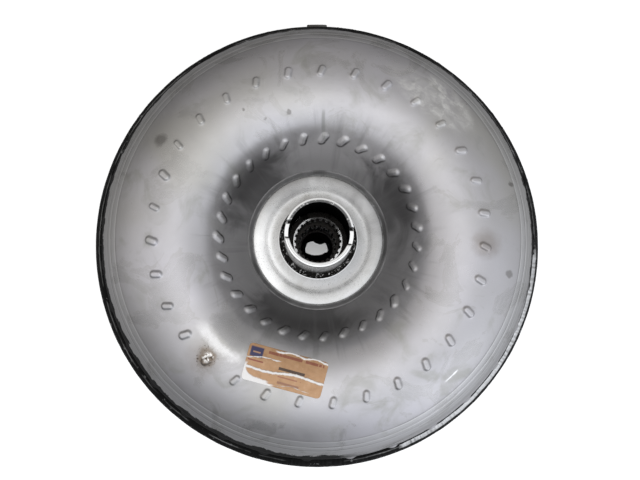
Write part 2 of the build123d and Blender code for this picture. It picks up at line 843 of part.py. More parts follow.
with BuildPart() as stator_blade:
    # stands between hub and ring
    with BuildSketch(
        Plane(origin=(stator_blade_r0, 0, 0), x_dir=(0, 1, 0), z_dir=(1, 0, 0))
    ):
        with BuildLine():
            Spline(*airfoil_one_face)
            ThreePointArc(*airfoil_upper_round)
            Spline(*airfoil_other_face)
            ThreePointArc(*airfoil_lower_round)
        make_face()
    extrude(amount=stator_blade_l)

with BuildPart() as stator_wheel:
    with BuildSketch(Plane.XZ):
        with Locations(((stator_hub_r0 + stator_hub_r1) / 2, stator_hub_z)):
            Rectangle(stator_hub_r1 - stator_hub_r0, stator_h)
        with Locations(((stator_ring_r0 + stator_ring_r1) / 2, stator_ring_z)):
            Rectangle(stator_ring_r1 - stator_ring_r0, stator_h)
    revolve(axis=Axis.Z)
    with PolarLocations(0, stator_blade_count):
        add(stator_blade.part)
    # snap-ring groove
    with BuildSketch(Plane.XZ):
        with Locations((stator_hub_r0, clutch_z1 + snap_groove_h / 2)):
            Rectangle(snap_groove_w, snap_groove_h)
    revolve(axis=Axis.Z, mode=Mode.SUBTRACT)
save("stator_wheel", stator_wheel.part)

# ============================================================ one-way clutch
clutch_r = stator_hub_r0 - 0.05
cap_bore_r, cap_t = 24.4, 1.9
race_z, race_h = clutch_z0 + 2, 12
race_bore_r = 30
roller_count, roller_r, roller_pitch_r = 10, 4.0, 28.05
roller_seat_gap = 0.15
roller_end_gap = 0.3
roller_chamfer = 0.4
# cam pocket: roller seat and ramp, (x, y)
cam_pocket = [(26, 0), (32.2, 0), (31.0, 9.2), (26, 9.2)]

with BuildPart() as clutch_outer_race:
    with BuildSketch(Plane.XY.offset(race_z)):
        Circle(clutch_r)
        Circle(race_bore_r, mode=Mode.SUBTRACT)
        with PolarLocations(0, roller_count):
            Polygon(*cam_pocket, align=None, mode=Mode.SUBTRACT)
        with PolarLocations(roller_pitch_r, roller_count):
            Circle(roller_r + roller_seat_gap, mode=Mode.SUBTRACT)
    extrude(amount=race_h)
save("clutch_outer_race", clutch_outer_race.part)

with BuildPart() as clutch_rollers:
    with BuildSketch(Plane.XY.offset(race_z + roller_end_gap)):
        with PolarLocations(roller_pitch_r, roller_count):
            Circle(roller_r)
    extrude(amount=race_h - 2 * roller_end_gap)
    chamfer(clutch_rollers.edges(), roller_chamfer)
save("clutch_rollers", clutch_rollers.part)

# folded strip springs that push the rollers up their ramps:
# leaves along x, joined at alternate ends by short bends
strip_t, leaf_l, leaf_count = 0.3, 4.3, 6
fold_pitch = 0.82
leaf_x, leaf_y = 28.4, 4.7  # centre of the first leaf
bend_reach = (leaf_l - strip_t) / 2
strip_end_gap = 1

with BuildPart() as clutch_springs:
    leaves = [(leaf_x, leaf_y + fold_pitch * i) for i in range(leaf_count)]
    bends = [
        (leaf_x + (-bend_reach if i % 2 else bend_reach), leaf_y + fold_pitch * (i + 0.5))
        for i in range(leaf_count - 1)
    ]
    with BuildSketch(Plane.XY.offset(race_z + strip_end_gap)):
        with PolarLocations(0, roller_count):
            with Locations(leaves):
                Rectangle(leaf_l, strip_t)
            with Locations(bends):
                Rectangle(strip_t, fold_pitch + strip_t)
    extrude(amount=race_h - 2 * strip_end_gap)
save("clutch_springs", clutch_springs.part)

save("clutch_cap_lower", flat_ring(clutch_z0, clutch_r, cap_bore_r, cap_t))
save("clutch_cap_upper", flat_ring(clutch_z1 - cap_t, clutch_r, cap_bore_r, cap_t))

snap_ring_r, snap_ring_inner_r, snap_ring_t = 41.2, 38.2, 1.15
snap_gap_w, snap_gap_l, snap_gap_y = 9, 8, 40

with BuildPart() as clutch_snap_ring:
    with BuildSketch(Plane.XY.offset(clutch_z1 + 0.05)):
        Circle(snap_ring_r)
        Circle(snap_ring_inner_r, mode=Mode.SUBTRACT)
        with Locations((0, snap_gap_y)):
            Rectangle(snap_gap_w, snap_gap_l, mode=Mode.SUBTRACT)
    extrude(amount=snap_ring_t)
save("clutch_snap_ring", clutch_snap_ring.part)

inner_race_r, inner_race_bore_r = 24, 15
inner_race_chamfer = 0.5
reaction_spline_count, reaction_spline_pitch_r = 24, 15.2
reaction_spline_depth, reaction_spline_w = 2.0, 1.9

with BuildPart() as clutch_inner_race:
    with BuildSketch(Plane.XY.offset(clutch_z0)):
        Circle(inner_race_r)
        Circle(inner_race_bore_r, mode=Mode.SUBTRACT)
        # reaction-shaft spline
        with PolarLocations(reaction_spline_pitch_r, reaction_spline_count):
            Rectangle(reaction_spline_depth, reaction_spline_w, mode=Mode.SUBTRACT)
    extrude(amount=clutch_z1 - clutch_z0)
    chamfer(
        clutch_inner_race.edges()
        .filter_by(GeomType.CIRCLE)
        .filter_by(lambda edge: abs(edge.radius - inner_race_r) < 0.1),
        inner_race_chamfer,
    )
save("clutch_inner_race", clutch_inner_race.part)

# ============================================================ needle thrust bearings
bearing_r, bearing_bore_r, bearing_race_t = 37, 26, 1
cage_r, cage_bore_r, cage_t = 36.5, 27, 1.5
needle_count, needle_r, needle_l = 24, 0.98, 7
needle_pitch_r = 31.7  # middle of a needle's length
cage_slot_l, cage_slot_w = 7.4, 2.2


def bearing_cage(base_z):
    with BuildPart() as cage:
        with BuildSketch(Plane.XY.offset(base_z + (bearing_h - cage_t) / 2)):
            Circle(cage_r)
            Circle(cage_bore_r, mode=Mode.SUBTRACT)
            with PolarLocations(needle_pitch_r, needle_count):
                Rectangle(cage_slot_l, cage_slot_w, mode=Mode.SUBTRACT)
        extrude(amount=cage_t)
    return cage.part


def bearing_needle(base_z):
    needle_start = (needle_pitch_r - needle_l / 2, 0, base_z + bearing_h / 2)
    with BuildPart() as needle:
        with BuildSketch(Plane(origin=needle_start, x_dir=(0, 1, 0), z_dir=(1, 0, 0))):
            Circle(needle_r)
        extrude(amount=needle_l)
    return needle.part


for bearing, base_z in (("turbine", turbine_bearing_z), ("pump", pump_bearing_z)):
    upper_z = base_z + bearing_h - bearing_race_t
    for place, z in (("lower", base_z), ("upper", upper_z)):
        race = flat_ring(z, bearing_r, bearing_bore_r, bearing_race_t)
        save(f"{bearing}_bearing_race_{place}", race)
    save(f"{bearing}_bearing_cage", bearing_cage(base_z))
    needles = around_axis(bearing_needle(base_z), needle_count)
    save(f"{bearing}_bearing_needles", needles)
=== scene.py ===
import math

import bmesh
import bpy
import numpy as np
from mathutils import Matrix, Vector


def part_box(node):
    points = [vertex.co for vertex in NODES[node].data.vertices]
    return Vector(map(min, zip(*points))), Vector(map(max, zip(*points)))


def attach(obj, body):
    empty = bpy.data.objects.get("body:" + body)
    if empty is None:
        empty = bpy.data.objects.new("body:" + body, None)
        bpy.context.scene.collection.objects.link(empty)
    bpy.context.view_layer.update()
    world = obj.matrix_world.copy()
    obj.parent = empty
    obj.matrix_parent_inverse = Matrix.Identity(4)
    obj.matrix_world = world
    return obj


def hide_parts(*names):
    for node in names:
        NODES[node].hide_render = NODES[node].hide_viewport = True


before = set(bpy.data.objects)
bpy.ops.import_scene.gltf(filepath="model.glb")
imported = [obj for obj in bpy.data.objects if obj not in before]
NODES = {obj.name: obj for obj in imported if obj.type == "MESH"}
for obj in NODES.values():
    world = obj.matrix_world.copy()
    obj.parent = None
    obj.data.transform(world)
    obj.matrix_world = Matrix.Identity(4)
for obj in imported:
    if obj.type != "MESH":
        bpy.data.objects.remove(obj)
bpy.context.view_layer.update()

MM = 0.001
PI = math.pi


# ------------------------------------------------------------------ places, from the frame
def top(node):
    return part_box(node)[1]


def low(node):
    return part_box(node)[0]


SHELL_R = top("front_cover")[0] / MM - 5.5  # widest ring of the shell, 149.5
CREST_Z = 120.0
HUB_TIP = top("impeller_hub")[2] / MM  # 140.3
RIM_R = top("front_cover")[0] / MM  # 155
COVER_TOP = top("front_cover")[2] / MM  # 50
FACE_Z = top("drive_lugs")[2] / MM  # 12
PILOT_Z = low("crank_pilot")[2] / MM  # -12


# ------------------------------------------------------------------ mesh helpers
def make_mesh(name, verts, faces, smooth=True, body="housing", uv=None):
    me = bpy.data.meshes.new(name)
    me.from_pydata([tuple(v) for v in verts], [], faces)
    me.update()
    if smooth:
        me.polygons.foreach_set("use_smooth", [True] * len(me.polygons))
    ob = bpy.data.objects.new(name, me)
    bpy.context.scene.collection.objects.link(ob)
    if uv is not None:
        layer = me.uv_layers.new(name="UVMap")
        idx = np.zeros(len(me.loops), dtype=int)
        me.loops.foreach_get("vertex_index", idx)
        layer.data.foreach_set("uv", np.asarray(uv, float)[idx].ravel())
    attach(ob, body)
    return ob


def grid_faces(nrow, ncol, wrap_col=True, wrap_row=False, flip=False):
    faces = []
    rr = nrow if wrap_row else nrow - 1
    cc = ncol if wrap_col else ncol - 1
    for i in range(rr):
        a = i * ncol
        b = ((i + 1) % nrow) * ncol
        for j in range(cc):
            k = (j + 1) % ncol
            f = (a + j, a + k, b + k, b + j)
            faces.append(f[::-1] if flip else f)
    return faces


def recalc(ob):
    bm = bmesh.new()
    bm.from_mesh(ob.data)
    bmesh.ops.recalc_face_normals(bm, faces=bm.faces)
    bm.to_mesh(ob.data)
    bm.free()


def lathe(name, prof, n=256, closed=True, body="housing", sharp=35.0, move=None):
    """Turned piece from (r, z) in mm. r = 0 ends are closed with a pole."""
    prof = [tuple(p) for p in prof]
    th = np.linspace(0, 2 * PI, n, endpoint=False)
    verts, rings = [], []
    for r, z in prof:
        if r < 1e-6:
            rings.append([len(verts)])
            verts.append((0, 0, z * MM))
        else:
            rings.append(list(range(len(verts), len(verts) + n)))
            for t in th:
                verts.append((r * MM * math.cos(t), r * MM * math.sin(t), z * MM))
    faces = []
    pairs = list(zip(rings[:-1], rings[1:]))
    if closed:
        pairs.append((rings[-1], rings[0]))
    for a, b in pairs:
        if len(a) == 1 and len(b) == 1:
            continue
        for j in range(n):
            k = (j + 1) % n
            if len(a) == 1:
                faces.append((a[0], b[k], b[j]))
            elif len(b) == 1:
                faces.append((a[j], a[k], b[0]))
            else:
                faces.append((a[j], a[k], b[k], b[j]))
    ob = make_mesh(name, verts, faces, body=body)
    recalc(ob)
    sharpen(ob, sharp)
    return ob


def sharpen(ob, degrees):
    """Marks edges sharper than this as sharp, so flat faces stay flat under smooth shading."""
    bm = bmesh.new()
    bm.from_mesh(ob.data)
    lim = math.radians(degrees)
    for e in bm.edges:
        if len(e.link_faces) == 2 and e.calc_face_angle(0) > lim:
            e.smooth = False
    bm.to_mesh(ob.data)
    bm.free()


def rounded(prof, radii, seg=4):
    """Rounds the corners of an open or closed (r, z) polyline. radii: {index: radius}."""
    out = []
    n = len(prof)
    for i, p in enumerate(prof):
        if i not in radii:
            out.append(p)
            continue
        a, b = np.array(prof[i - 1], float), np.array(prof[(i + 1) % n], float)
        c = np.array(p, float)
        u, v = a - c, b - c
        lu, lv = np.linalg.norm(u), np.linalg.norm(v)
        u, v = u / lu, v / lv
        half = math.acos(max(-1, min(1, float(u @ v)))) / 2
        r = radii[i]
        cut = min(r / math.tan(half), lu * 0.49, lv * 0.49)
        r = cut * math.tan(half)
        mid = (u + v) / np.linalg.norm(u + v) * (r / math.sin(half))
        o = c + mid
        p0, p1 = c + u * cut - o, c + v * cut - o
        a0, a1 = math.atan2(p0[1], p0[0]), math.atan2(p1[1], p1[0])
        d = (a1 - a0 + PI) % (2 * PI) - PI
        for k in range(seg + 1):
            t = a0 + d * k / seg
            out.append((o[0] + r * math.cos(t), o[1] + r * math.sin(t)))
    return out


# smooth periodic pseudo-noise on a circle, seeded, and a smoothstep
def ring_noise(theta, seed, kmin, kmax, power=0.5):
    rng = np.random.default_rng(seed)
    out = np.zeros_like(theta)
    for k in range(kmin, kmax + 1):
        out += rng.normal() / k**power * np.cos(k * theta + rng.uniform(0, 2 * PI))
    s = out.std()
    return out / (s if s > 0 else 1)


def sstep(e0, e1, x):
    t = np.clip((x - e0) / (e1 - e0), 0, 1)
    return t * t * (3 - 2 * t)


# ------------------------------------------------------------------ node helpers
class Nodes:
    def __init__(self, name):
        self.mat = bpy.data.materials.new(name)
        self.mat.use_nodes = True
        self.nt = self.mat.node_tree
        self.bsdf = self.nt.nodes["Principled BSDF"]
        self._co = None

    def link(self, a, b):
        self.nt.links.new(a, b)

    def put(self, sock, v):
        if v is None:
            return
        if isinstance(v, bpy.types.NodeSocket):
            self.link(v, sock)
        elif isinstance(v, (tuple, list)) and len(v) == 3 and sock.type == "RGBA":
            sock.default_value = (*v, 1)
        else:
            sock.default_value = v

    def node(self, kind, **kw):
        n = self.nt.nodes.new(kind)
        for k, v in kw.items():
            setattr(n, k, v)
        return n

    def co(self):
        if self._co is None:
            self._co = self.node("ShaderNodeTexCoord").outputs["Object"]
        return self._co

    def uv(self):
        return self.node("ShaderNodeTexCoord").outputs["UV"]

    def math(self, op, a, b=None, c=None, clamp=False):
        n = self.node("ShaderNodeMath", operation=op, use_clamp=clamp)
        self.put(n.inputs[0], a)
        if b is not None:
            self.put(n.inputs[1], b)
        if c is not None:
            self.put(n.inputs[2], c)
        return n.outputs[0]

    def add(self, *v):
        o = v[0]
        for x in v[1:]:
            o = self.math("ADD", o, x)
        return o

    def mul(self, *v):
        o = v[0]
        for x in v[1:]:
            o = self.math("MULTIPLY", o, x)
        return o

    def sep(self, v):
        n = self.node("ShaderNodeSeparateXYZ")
        self.link(v, n.inputs[0])
        return n.outputs[0], n.outputs[1], n.outputs[2]

    def comb(self, x, y, z):
        n = self.node("ShaderNodeCombineXYZ")
        for s, v in zip(n.inputs, (x, y, z)):
            self.put(s, v)
        return n.outputs[0]

    def vmul(self, v, s):
        n = self.node("ShaderNodeVectorMath", operation="MULTIPLY")
        self.link(v, n.inputs[0])
        n.inputs[1].default_value = s
        return n.outputs[0]

    def noise(self, scale, detail=3.0, rough=0.5, v=None, dist=0.0, color=False):
        n = self.node("ShaderNodeTexNoise")
        self.link(self.co() if v is None else v, n.inputs["Vector"])
        n.inputs["Scale"].default_value = scale
        n.inputs["Detail"].default_value = detail
        n.inputs["Roughness"].default_value = rough
        n.inputs["Distortion"].default_value = dist
        return n.outputs["Color" if color else "Fac"]

    def voronoi(self, scale, v=None, feature="F1"):
        n = self.node("ShaderNodeTexVoronoi", feature=feature)
        self.link(self.co() if v is None else v, n.inputs["Vector"])
        n.inputs["Scale"].default_value = scale
        return n.outputs["Distance"]

    def step(self, x, e0, e1, lo=0.0, hi=1.0):
        n = self.node("ShaderNodeMapRange", interpolation_type="SMOOTHSTEP")
        self.put(n.inputs["Value"], x)
        n.inputs["From Min"].default_value = min(e0, e1)
        n.inputs["From Max"].default_value = max(e0, e1)
        if e0 > e1:
            lo, hi = hi, lo
        n.inputs["To Min"].default_value = lo
        n.inputs["To Max"].default_value = hi
        return n.outputs[0]

    def lin(self, x, e0, e1, lo=0.0, hi=1.0):
        n = self.node("ShaderNodeMapRange")
        self.put(n.inputs["Value"], x)
        for k, v in (("From Min", e0), ("From Max", e1), ("To Min", lo), ("To Max", hi)):
            n.inputs[k].default_value = v
        return n.outputs[0]

    def ramp(self, x, stops):
        n = self.node("ShaderNodeValToRGB")
        self.put(n.inputs[0], x)
        cr = n.color_ramp
        cr.interpolation = "EASE"
        while len(cr.elements) < len(stops):
            cr.elements.new(0.5)
        for e, (p, c) in zip(cr.elements, stops):
            e.position = p
            e.color = (*c, 1) if isinstance(c, tuple) else (c, c, c, 1)
        return n.outputs[0]

    def mix(self, f, a, b, blend="MIX"):
        n = self.node("ShaderNodeMix", data_type="RGBA", blend_type=blend)
        self.put(n.inputs["Factor"], f)
        self.put(n.inputs[6], a)
        self.put(n.inputs[7], b)
        return n.outputs[2]

    def mixf(self, f, a, b):
        n = self.node("ShaderNodeMix", data_type="FLOAT")
        self.put(n.inputs["Factor"], f)
        self.put(n.inputs[2], a)
        self.put(n.inputs[3], b)
        return n.outputs[0]

    def bump(self, h, dist=0.0005, strength=1.0, normal=None):
        n = self.node("ShaderNodeBump")
        n.inputs["Strength"].default_value = strength
        n.inputs["Distance"].default_value = dist
        self.link(h, n.inputs["Height"])
        if normal is not None:
            self.link(normal, n.inputs["Normal"])
        return n.outputs[0]

    def radius(self, v=None):
        x, y, z = self.sep(self.co() if v is None else v)
        return self.math("SQRT", self.add(self.mul(x, x), self.mul(y, y)))

    def angle_dist(self, deg):
        """1 along this azimuth, -1 opposite."""
        x, y, z = self.sep(self.co())
        r = self.radius()
        d = self.add(
            self.mul(x, math.cos(math.radians(deg))), self.mul(y, math.sin(math.radians(deg)))
        )
        return self.math("DIVIDE", d, self.math("MAXIMUM", r, 0.001))

    def near(self, x, y, inner, outer, warp=None):
        """1 within inner mm of (x, y) mm seen along the axis, 0 beyond outer mm."""
        px, py, pz = self.sep(self.co())
        dx = self.add(px, -x * MM)
        dy = self.add(py, -y * MM)
        d = self.math("SQRT", self.add(self.mul(dx, dx), self.mul(dy, dy)))
        if warp is not None:
            d = self.add(d, warp)
        return self.step(d, outer * MM, inner * MM)

    def done(self, color, rough, metallic=1.0, normal=None, **kw):
        b = self.bsdf
        self.put(b.inputs["Base Color"], color)
        self.put(b.inputs["Roughness"], rough)
        self.put(b.inputs["Metallic"], metallic)
        if normal is not None:
            self.link(normal, b.inputs["Normal"])
        for k, v in kw.items():
            self.put(b.inputs[k.replace("_", " ")], v)
        return self.mat


def assign(ob, mat):
    ob.data.materials.clear()
    ob.data.materials.append(mat)


def paint_node(name, mat):
    ob = NODES[name]
    if not ob.data.materials:
        ob.data.materials.append(mat)
    for i in range(len(ob.data.materials)):
        ob.data.materials[i] = mat


# ------------------------------------------------------------------ shell profile
TORUS_R, A, B, SZ = 97.0, SHELL_R - 97.0, 60.0, 60.0
THROAT = [(97.0, 120.0), (69.0, 120.0), (57.0, 91.0), (45.0, 84.0)]
BLADES = 31
PITCH = 360.0 / BLADES


def shell_curve():
    """Outer wall from the hub end to the lip, dense."""
    t = np.linspace(1, 0, 1500)
    P = np.array(THROAT)
    c = (
        ((1 - t) ** 3)[:, None] * P[0]
        + (3 * (1 - t) ** 2 * t)[:, None] * P[1]
        + (3 * (1 - t) * t**2)[:, None] * P[2]
        + (t**3)[:, None] * P[3]
    )
    a = np.linspace(PI / 2, 0, 1500)[1:]
    e = np.c_[TORUS_R + A * np.cos(a), SZ + B * np.sin(a)]
    w = np.c_[np.full(60, SHELL_R), np.linspace(SZ, 46.0, 61)[1:]]
    pts = np.vstack([c, e, w])
    s = np.r_[0, np.cumsum(np.hypot(*np.diff(pts, axis=0).T))]
    return pts, s


CURVE, ARC = shell_curve()


def arc_at_r(r):
    k = np.searchsorted(CURVE[: 2990, 0], r)
    return ARC[k]


def shell_z(r):
    return np.interp(r, CURVE[:2990, 0], CURVE[:2990, 1])


# rows of raised marks: radius, first angle, slant, length, width, height
OUTER = dict(r=111.3, deg=7.7, slant=-17, L=8.9, W=5.0, H=1.35, soft=0.42)
INNER = dict(r=66.8, deg=6.1, slant=-30, L=10.4, W=5.4, H=1.15, soft=0.05)


def capsules(s, th, row, s0):
    """Height of one row of raised capsules over (arc length, angle)."""
    r = row["r"]
    pitch = 2 * PI / BLADES
    k = np.round((th - math.radians(row["deg"])) / pitch)
    c = (th - math.radians(row["deg"]) - k * pitch) * r
    a = math.radians(row["slant"])
    ds = s - s0
    rng = np.random.default_rng(int(r * 10))
    jit = rng.normal(size=(BLADES + 1, 3))
    ki = (k.astype(int) % BLADES)
    size = 1 + 0.07 * jit[ki, 0]
    a = a + math.radians(4) * jit[ki, 1]
    ds = ds - 0.35 * jit[ki, 2]
    along = ds * np.cos(a) + c * np.sin(a)
    across = -ds * np.sin(a) + c * np.cos(a)
    half = (row["L"] - row["W"]) / 2
    d = np.hypot(np.maximum(np.abs(along) - half, 0), across) / (row["W"] / 2 * size)
    dome = sstep(1.12, row["soft"], d)
    skirt = 0.07 * sstep(2.0, 1.0, d)
    # painted shadow along the foot on the side that faces the hub, painted highlight at the outer end
    u, v = along / (row["L"] / 2), across / (row["W"] / 2)
    foot_shadow = sstep(0.45, 0.85, d) * sstep(1.35, 1.02, d) * sstep(-0.05, 0.75, -(0.62 * u + 0.78 * v))
    end_highlight = sstep(1.0, 0.45, d) * sstep(-0.2, 0.75, u) * (0.7 + 0.3 * sstep(0.3, 0.9, u))
    return row["H"] * size * dome + skirt, foot_shadow, end_highlight


def build_shell():
    s_out, s_in = arc_at_r(OUTER["r"]), arc_at_r(INNER["r"])
    s_lip = ARC[np.argmin(np.abs(CURVE[:, 1] - 60.0) + (CURVE[:, 0] < 140) * 99)]
    grooves = [(137.4, 0.16, 0.30), (141.0, 0.30, 0.36), (143.3, 0.12, 0.25), (145.4, 0.12, 0.25), (148.2, 0.32, 0.36)]
    g_s = [arc_at_r(g[0]) for g in grooves]
    samples = [0.0]
    while samples[-1] < ARC[-1]:
        s = samples[-1]
        step = 1.7
        if abs(s - s_out) < 7 or abs(s - s_in) < 7.5:
            step = 0.5
        if abs(s - s_lip) < 5:
            step = 0.55
        for g in g_s:
            if abs(s - g) < 1.3:
                step = 0.22
        samples.append(s + step)
    S = np.array(samples[:-1] + [ARC[-1]])
    n = BLADES * 42
    th = np.linspace(0, 2 * PI, n, endpoint=False)
    r = np.interp(S, ARC, CURVE[:, 0])
    z = np.interp(S, ARC, CURVE[:, 1])
    # tangents on the dense curve, so that rows can be uneven
    tr = np.interp(S, ARC, np.gradient(CURVE[:, 0], ARC))
    tz = np.interp(S, ARC, np.gradient(CURVE[:, 1], ARC))
    m = np.hypot(tr, tz)
    nr, nz = -tz / m, tr / m
    SS, TT = np.meshgrid(S, th, indexing="ij")
    h, foot_shadow_o, end_highlight_o = capsules(SS, TT, OUTER, s_out)
    h_in, foot_shadow_i, end_highlight_i = capsules(SS, TT, INNER, s_in)
    h = h + h_in
    # bumps on the lip
    pitch = 2 * PI / BLADES
    k = np.round(TT / pitch)
    c = (TT - k * pitch) * SHELL_R
    ds = SS - s_lip
    d = np.sqrt((c / 4.3) ** 2 + (np.minimum(ds, 0) / 4.0) ** 2 + (np.maximum(ds, 0) / 2.6) ** 2)
    h += 1.3 * sstep(1.1, 0.2, d)
    for (gr, depth, w), gs in zip(grooves, g_s):
        h -= depth * np.exp(-(((SS - gs) / w) ** 2))
    # faint unevenness of the pressing
    for q, (ka, ks, amp) in enumerate(((3, 0.05, 0.05), (7, 0.09, 0.035), (12, 0.16, 0.02), (31, 0.1, 0.02))):
        h += amp * np.cos(ka * TT + 1.7 * q) * np.cos(ks * SS + q)
    R = r[:, None] + h * nr[:, None]
    Z = z[:, None] + h * nz[:, None]
    outer = np.stack([R * np.cos(TT), R * np.sin(TT), Z], -1).reshape(-1, 3) * MM
    # inner wall, 3 mm below, few rows
    SI = np.linspace(ARC[-1], 0, 40)
    ri = np.interp(SI, ARC, CURVE[:, 0])
    zi = np.interp(SI, ARC, CURVE[:, 1])
    tri = np.interp(SI, ARC, np.gradient(CURVE[:, 0], ARC))
    tzi = np.interp(SI, ARC, np.gradient(CURVE[:, 1], ARC))
    mi = np.hypot(tri, tzi)
    ri2, zi2 = ri + 3 * tzi / mi, zi - 3 * tri / mi
    inner = np.stack(
        [
            ri2[:, None] * np.cos(th)[None],
            ri2[:, None] * np.sin(th)[None],
            np.repeat(zi2[:, None], n, 1),
        ],
        -1,
    ).reshape(-1, 3) * MM
    verts = np.vstack([outer, inner])
    faces = grid_faces(len(S) + len(SI), n, True, True)
    ob = make_mesh("shell_pressing", verts, faces)
    recalc(ob)
    sharpen(ob, 55)
    pad = np.zeros(inner.shape[0])
    # store the painted shadow and painted highlight masks of the raised marks on the points
    for name, f in (("foot_shadow", foot_shadow_i + 0.30 * foot_shadow_o), ("end_highlight", end_highlight_i + 0.10 * end_highlight_o)):
        at = ob.data.attributes.new(name, "FLOAT", "POINT")
        at.data.foreach_set("value", np.r_[f.ravel(), pad].astype(np.float32))
    return ob


# ------------------------------------------------------------------ materials
def shell_material(detail=True):
    m = Nodes("shell_steel_look" if detail else "inner_pressed_steel")
    big = m.noise(9, 3, 0.55)
    mid = m.noise(38, 4, 0.6, dist=0.6)
    fine = m.noise(420, 3, 0.6)
    r = m.radius()
    x, y, z = m.sep(m.co())
    # lavender to olive steel
    base = m.ramp(big, [(0.30, (0.510, 0.500, 0.482)), (0.48, (0.556, 0.545, 0.562)), (0.70, (0.612, 0.600, 0.638))])
    base = m.mix(m.step(mid, 0.52, 0.72), base, (0.47, 0.465, 0.455))
    rough = m.add(m.lin(mid, 0.3, 0.7, 0.27, 0.42), m.lin(fine, 0.3, 0.7, -0.03, 0.03))
    # turned band between the two lines at the shoulder
    rim = m.mul(m.step(r, 0.1371, 0.1375), m.step(z, 0.060, 0.066))
    # circular turning lines on that band
    lines = m.noise(1.0, 2, 0.6, v=m.comb(m.mul(r, 2600.0), m.mul(z, 2600.0), 0.0))
    base = m.mix(m.mul(rim, m.lin(lines, 0.3, 0.7, 0.25, 0.75)), base, (0.66, 0.66, 0.665))
    rough = m.mixf(rim, rough, 0.34)
    # fine scratches in two directions
    sc = m.noise(1.0, 4, 0.7, v=m.vmul(m.co(), (900, 60, 200)), dist=0.4)
    sc2 = m.noise(1.0, 4, 0.7, v=m.vmul(m.co(), (70, 800, 200)), dist=0.5)
    sm = m.add(m.step(sc, 0.64, 0.70), m.step(sc2, 0.66, 0.72))
    rough = m.add(rough, m.mul(sm, 0.12))
    base = m.mix(m.mul(sm, 0.25), base, (0.72, 0.72, 0.73))
    # oil film and water stains: smooth darker clouds with sharper edges
    st = m.noise(21, 5, 0.62, dist=1.6)
    stain = m.mul(m.step(st, 0.56, 0.60), m.step(st, 0.76, 0.64))
    base = m.mix(m.mul(stain, 0.32), base, (0.36, 0.355, 0.345))
    edge = m.mul(m.step(st, 0.545, 0.56), m.step(st, 0.58, 0.565))
    base = m.mix(m.mul(edge, 0.35), base, (0.42, 0.41, 0.39))
    rough = m.add(rough, m.mul(stain, -0.07))
    if detail:
        # deep throat: painted shade, with paler painted reflections towards three azimuths and a grey ring at its
        # floor
        deep = m.step(m.add(r, m.mul(m.add(m.noise(24, 4, 0.6, dist=0.9), -0.5), 0.014)), 0.081, 0.060)
        warp = m.mul(m.add(m.noise(30, 4, 0.6, dist=0.8), -0.5), 0.9)
        throat_reflection = m.math("MAXIMUM", m.step(m.add(m.angle_dist(78), warp), 0.62, 1.0), m.mul(m.step(m.add(m.angle_dist(188), warp), 0.72, 1.02), 0.75))
        throat_reflection = m.math("MAXIMUM", throat_reflection, m.mul(m.step(m.add(m.angle_dist(325), warp), 0.62, 1.0), 0.6))
        floor_ring = m.step(r, 0.060, 0.051)
        throat_shade = m.mix(throat_reflection, (0.062, 0.060, 0.060), (0.42, 0.410, 0.415))
        throat_shade = m.mix(m.mul(floor_ring, 0.30), throat_shade, (0.24, 0.235, 0.236))
        base = m.mix(m.mul(deep, 0.92), base, throat_shade)
        foot_shadow = m.node("ShaderNodeAttribute", attribute_name="foot_shadow").outputs["Fac"]
        end_highlight = m.node("ShaderNodeAttribute", attribute_name="end_highlight").outputs["Fac"]
        grain = m.noise(420, 3, 0.6)
        # painted shadow at the foot of the raised marks, painted highlight on their outer ends
        base = m.mix(m.mul(foot_shadow, m.lin(grain, 0.35, 0.6, 0.70, 0.95)), base, (0.030, 0.028, 0.028))
        base = m.mix(m.mul(end_highlight, m.lin(grain, 0.35, 0.6, 0.35, 0.85)), base, (0.70, 0.695, 0.70))
        # streaks running outwards through the throat
        ax, ay, az = m.sep(m.co())
        ang = m.math("ARCTAN2", ay, ax)
        rays = m.noise(1.0, 3, 0.6, v=m.comb(m.mul(ang, 9.0), m.mul(r, 14.0), 0.0))
        th = m.mul(m.step(r, 0.090, 0.076), m.step(rays, 0.50, 0.66))
        base = m.mix(m.mul(th, 0.30), base, (0.20, 0.196, 0.195))
        wob = m.mul(m.add(m.noise(150, 3, 0.6), -0.5), 0.006)
        # burnt and rusty marks beside two of the raised marks
        for (px, py, ri, ro, amt) in ((-76.5, -82.0, 5.0, 17.0, 0.32), (-74.2, -81.4, 4.0, 8.0, 0.92), (111.9, -5.6, 4.0, 13.0, 0.42)):
            k = m.near(px, py, ri, ro, wob)
            base = m.mix(m.mul(k, amt), base, (0.225, 0.180, 0.140))
        sp = m.mul(m.near(-74.2, -81.4, 4, 10, wob), m.step(m.noise(700, 2, 0.5), 0.58, 0.66))
        base = m.mix(sp, base, (0.06, 0.045, 0.035))
        # bare metal left on top of the burnt mark
        sp = m.mul(m.near(-74.0, -81.2, 2.4, 5.0, wob), m.step(m.noise(480, 3, 0.6), 0.43, 0.50))
        base = m.mix(sp, base, (0.95, 0.93, 0.91))
        # painted highlight along the crest, and a short painted highlight near the shoulder
        ang2 = m.math("ARCTAN2", y, x)
        cw = m.mul(m.add(m.noise(85, 5, 0.65), -0.5), 0.010)
        for (rc, hw, a0, a1, amt) in ((98.4, 5.6, -146.0, -119.5, 0.50), (128.8, 0.9, -49.6, -43.4, 0.85)):
            k = m.step(m.add(m.math("ABSOLUTE", m.add(r, -rc * MM)), m.mul(cw, hw / 4.0)), hw * MM, hw * 0.08 * MM)
            k = m.mul(k, m.mul(m.step(ang2, math.radians(a0), math.radians(a0 + 0.3 * (a1 - a0))), m.step(ang2, math.radians(a1), math.radians(a1 - 0.2 * (a1 - a0)))))
            base = m.mix(m.mul(k, amt), base, (0.96, 0.955, 0.965))
            rough = m.add(rough, m.mul(k, -0.06))
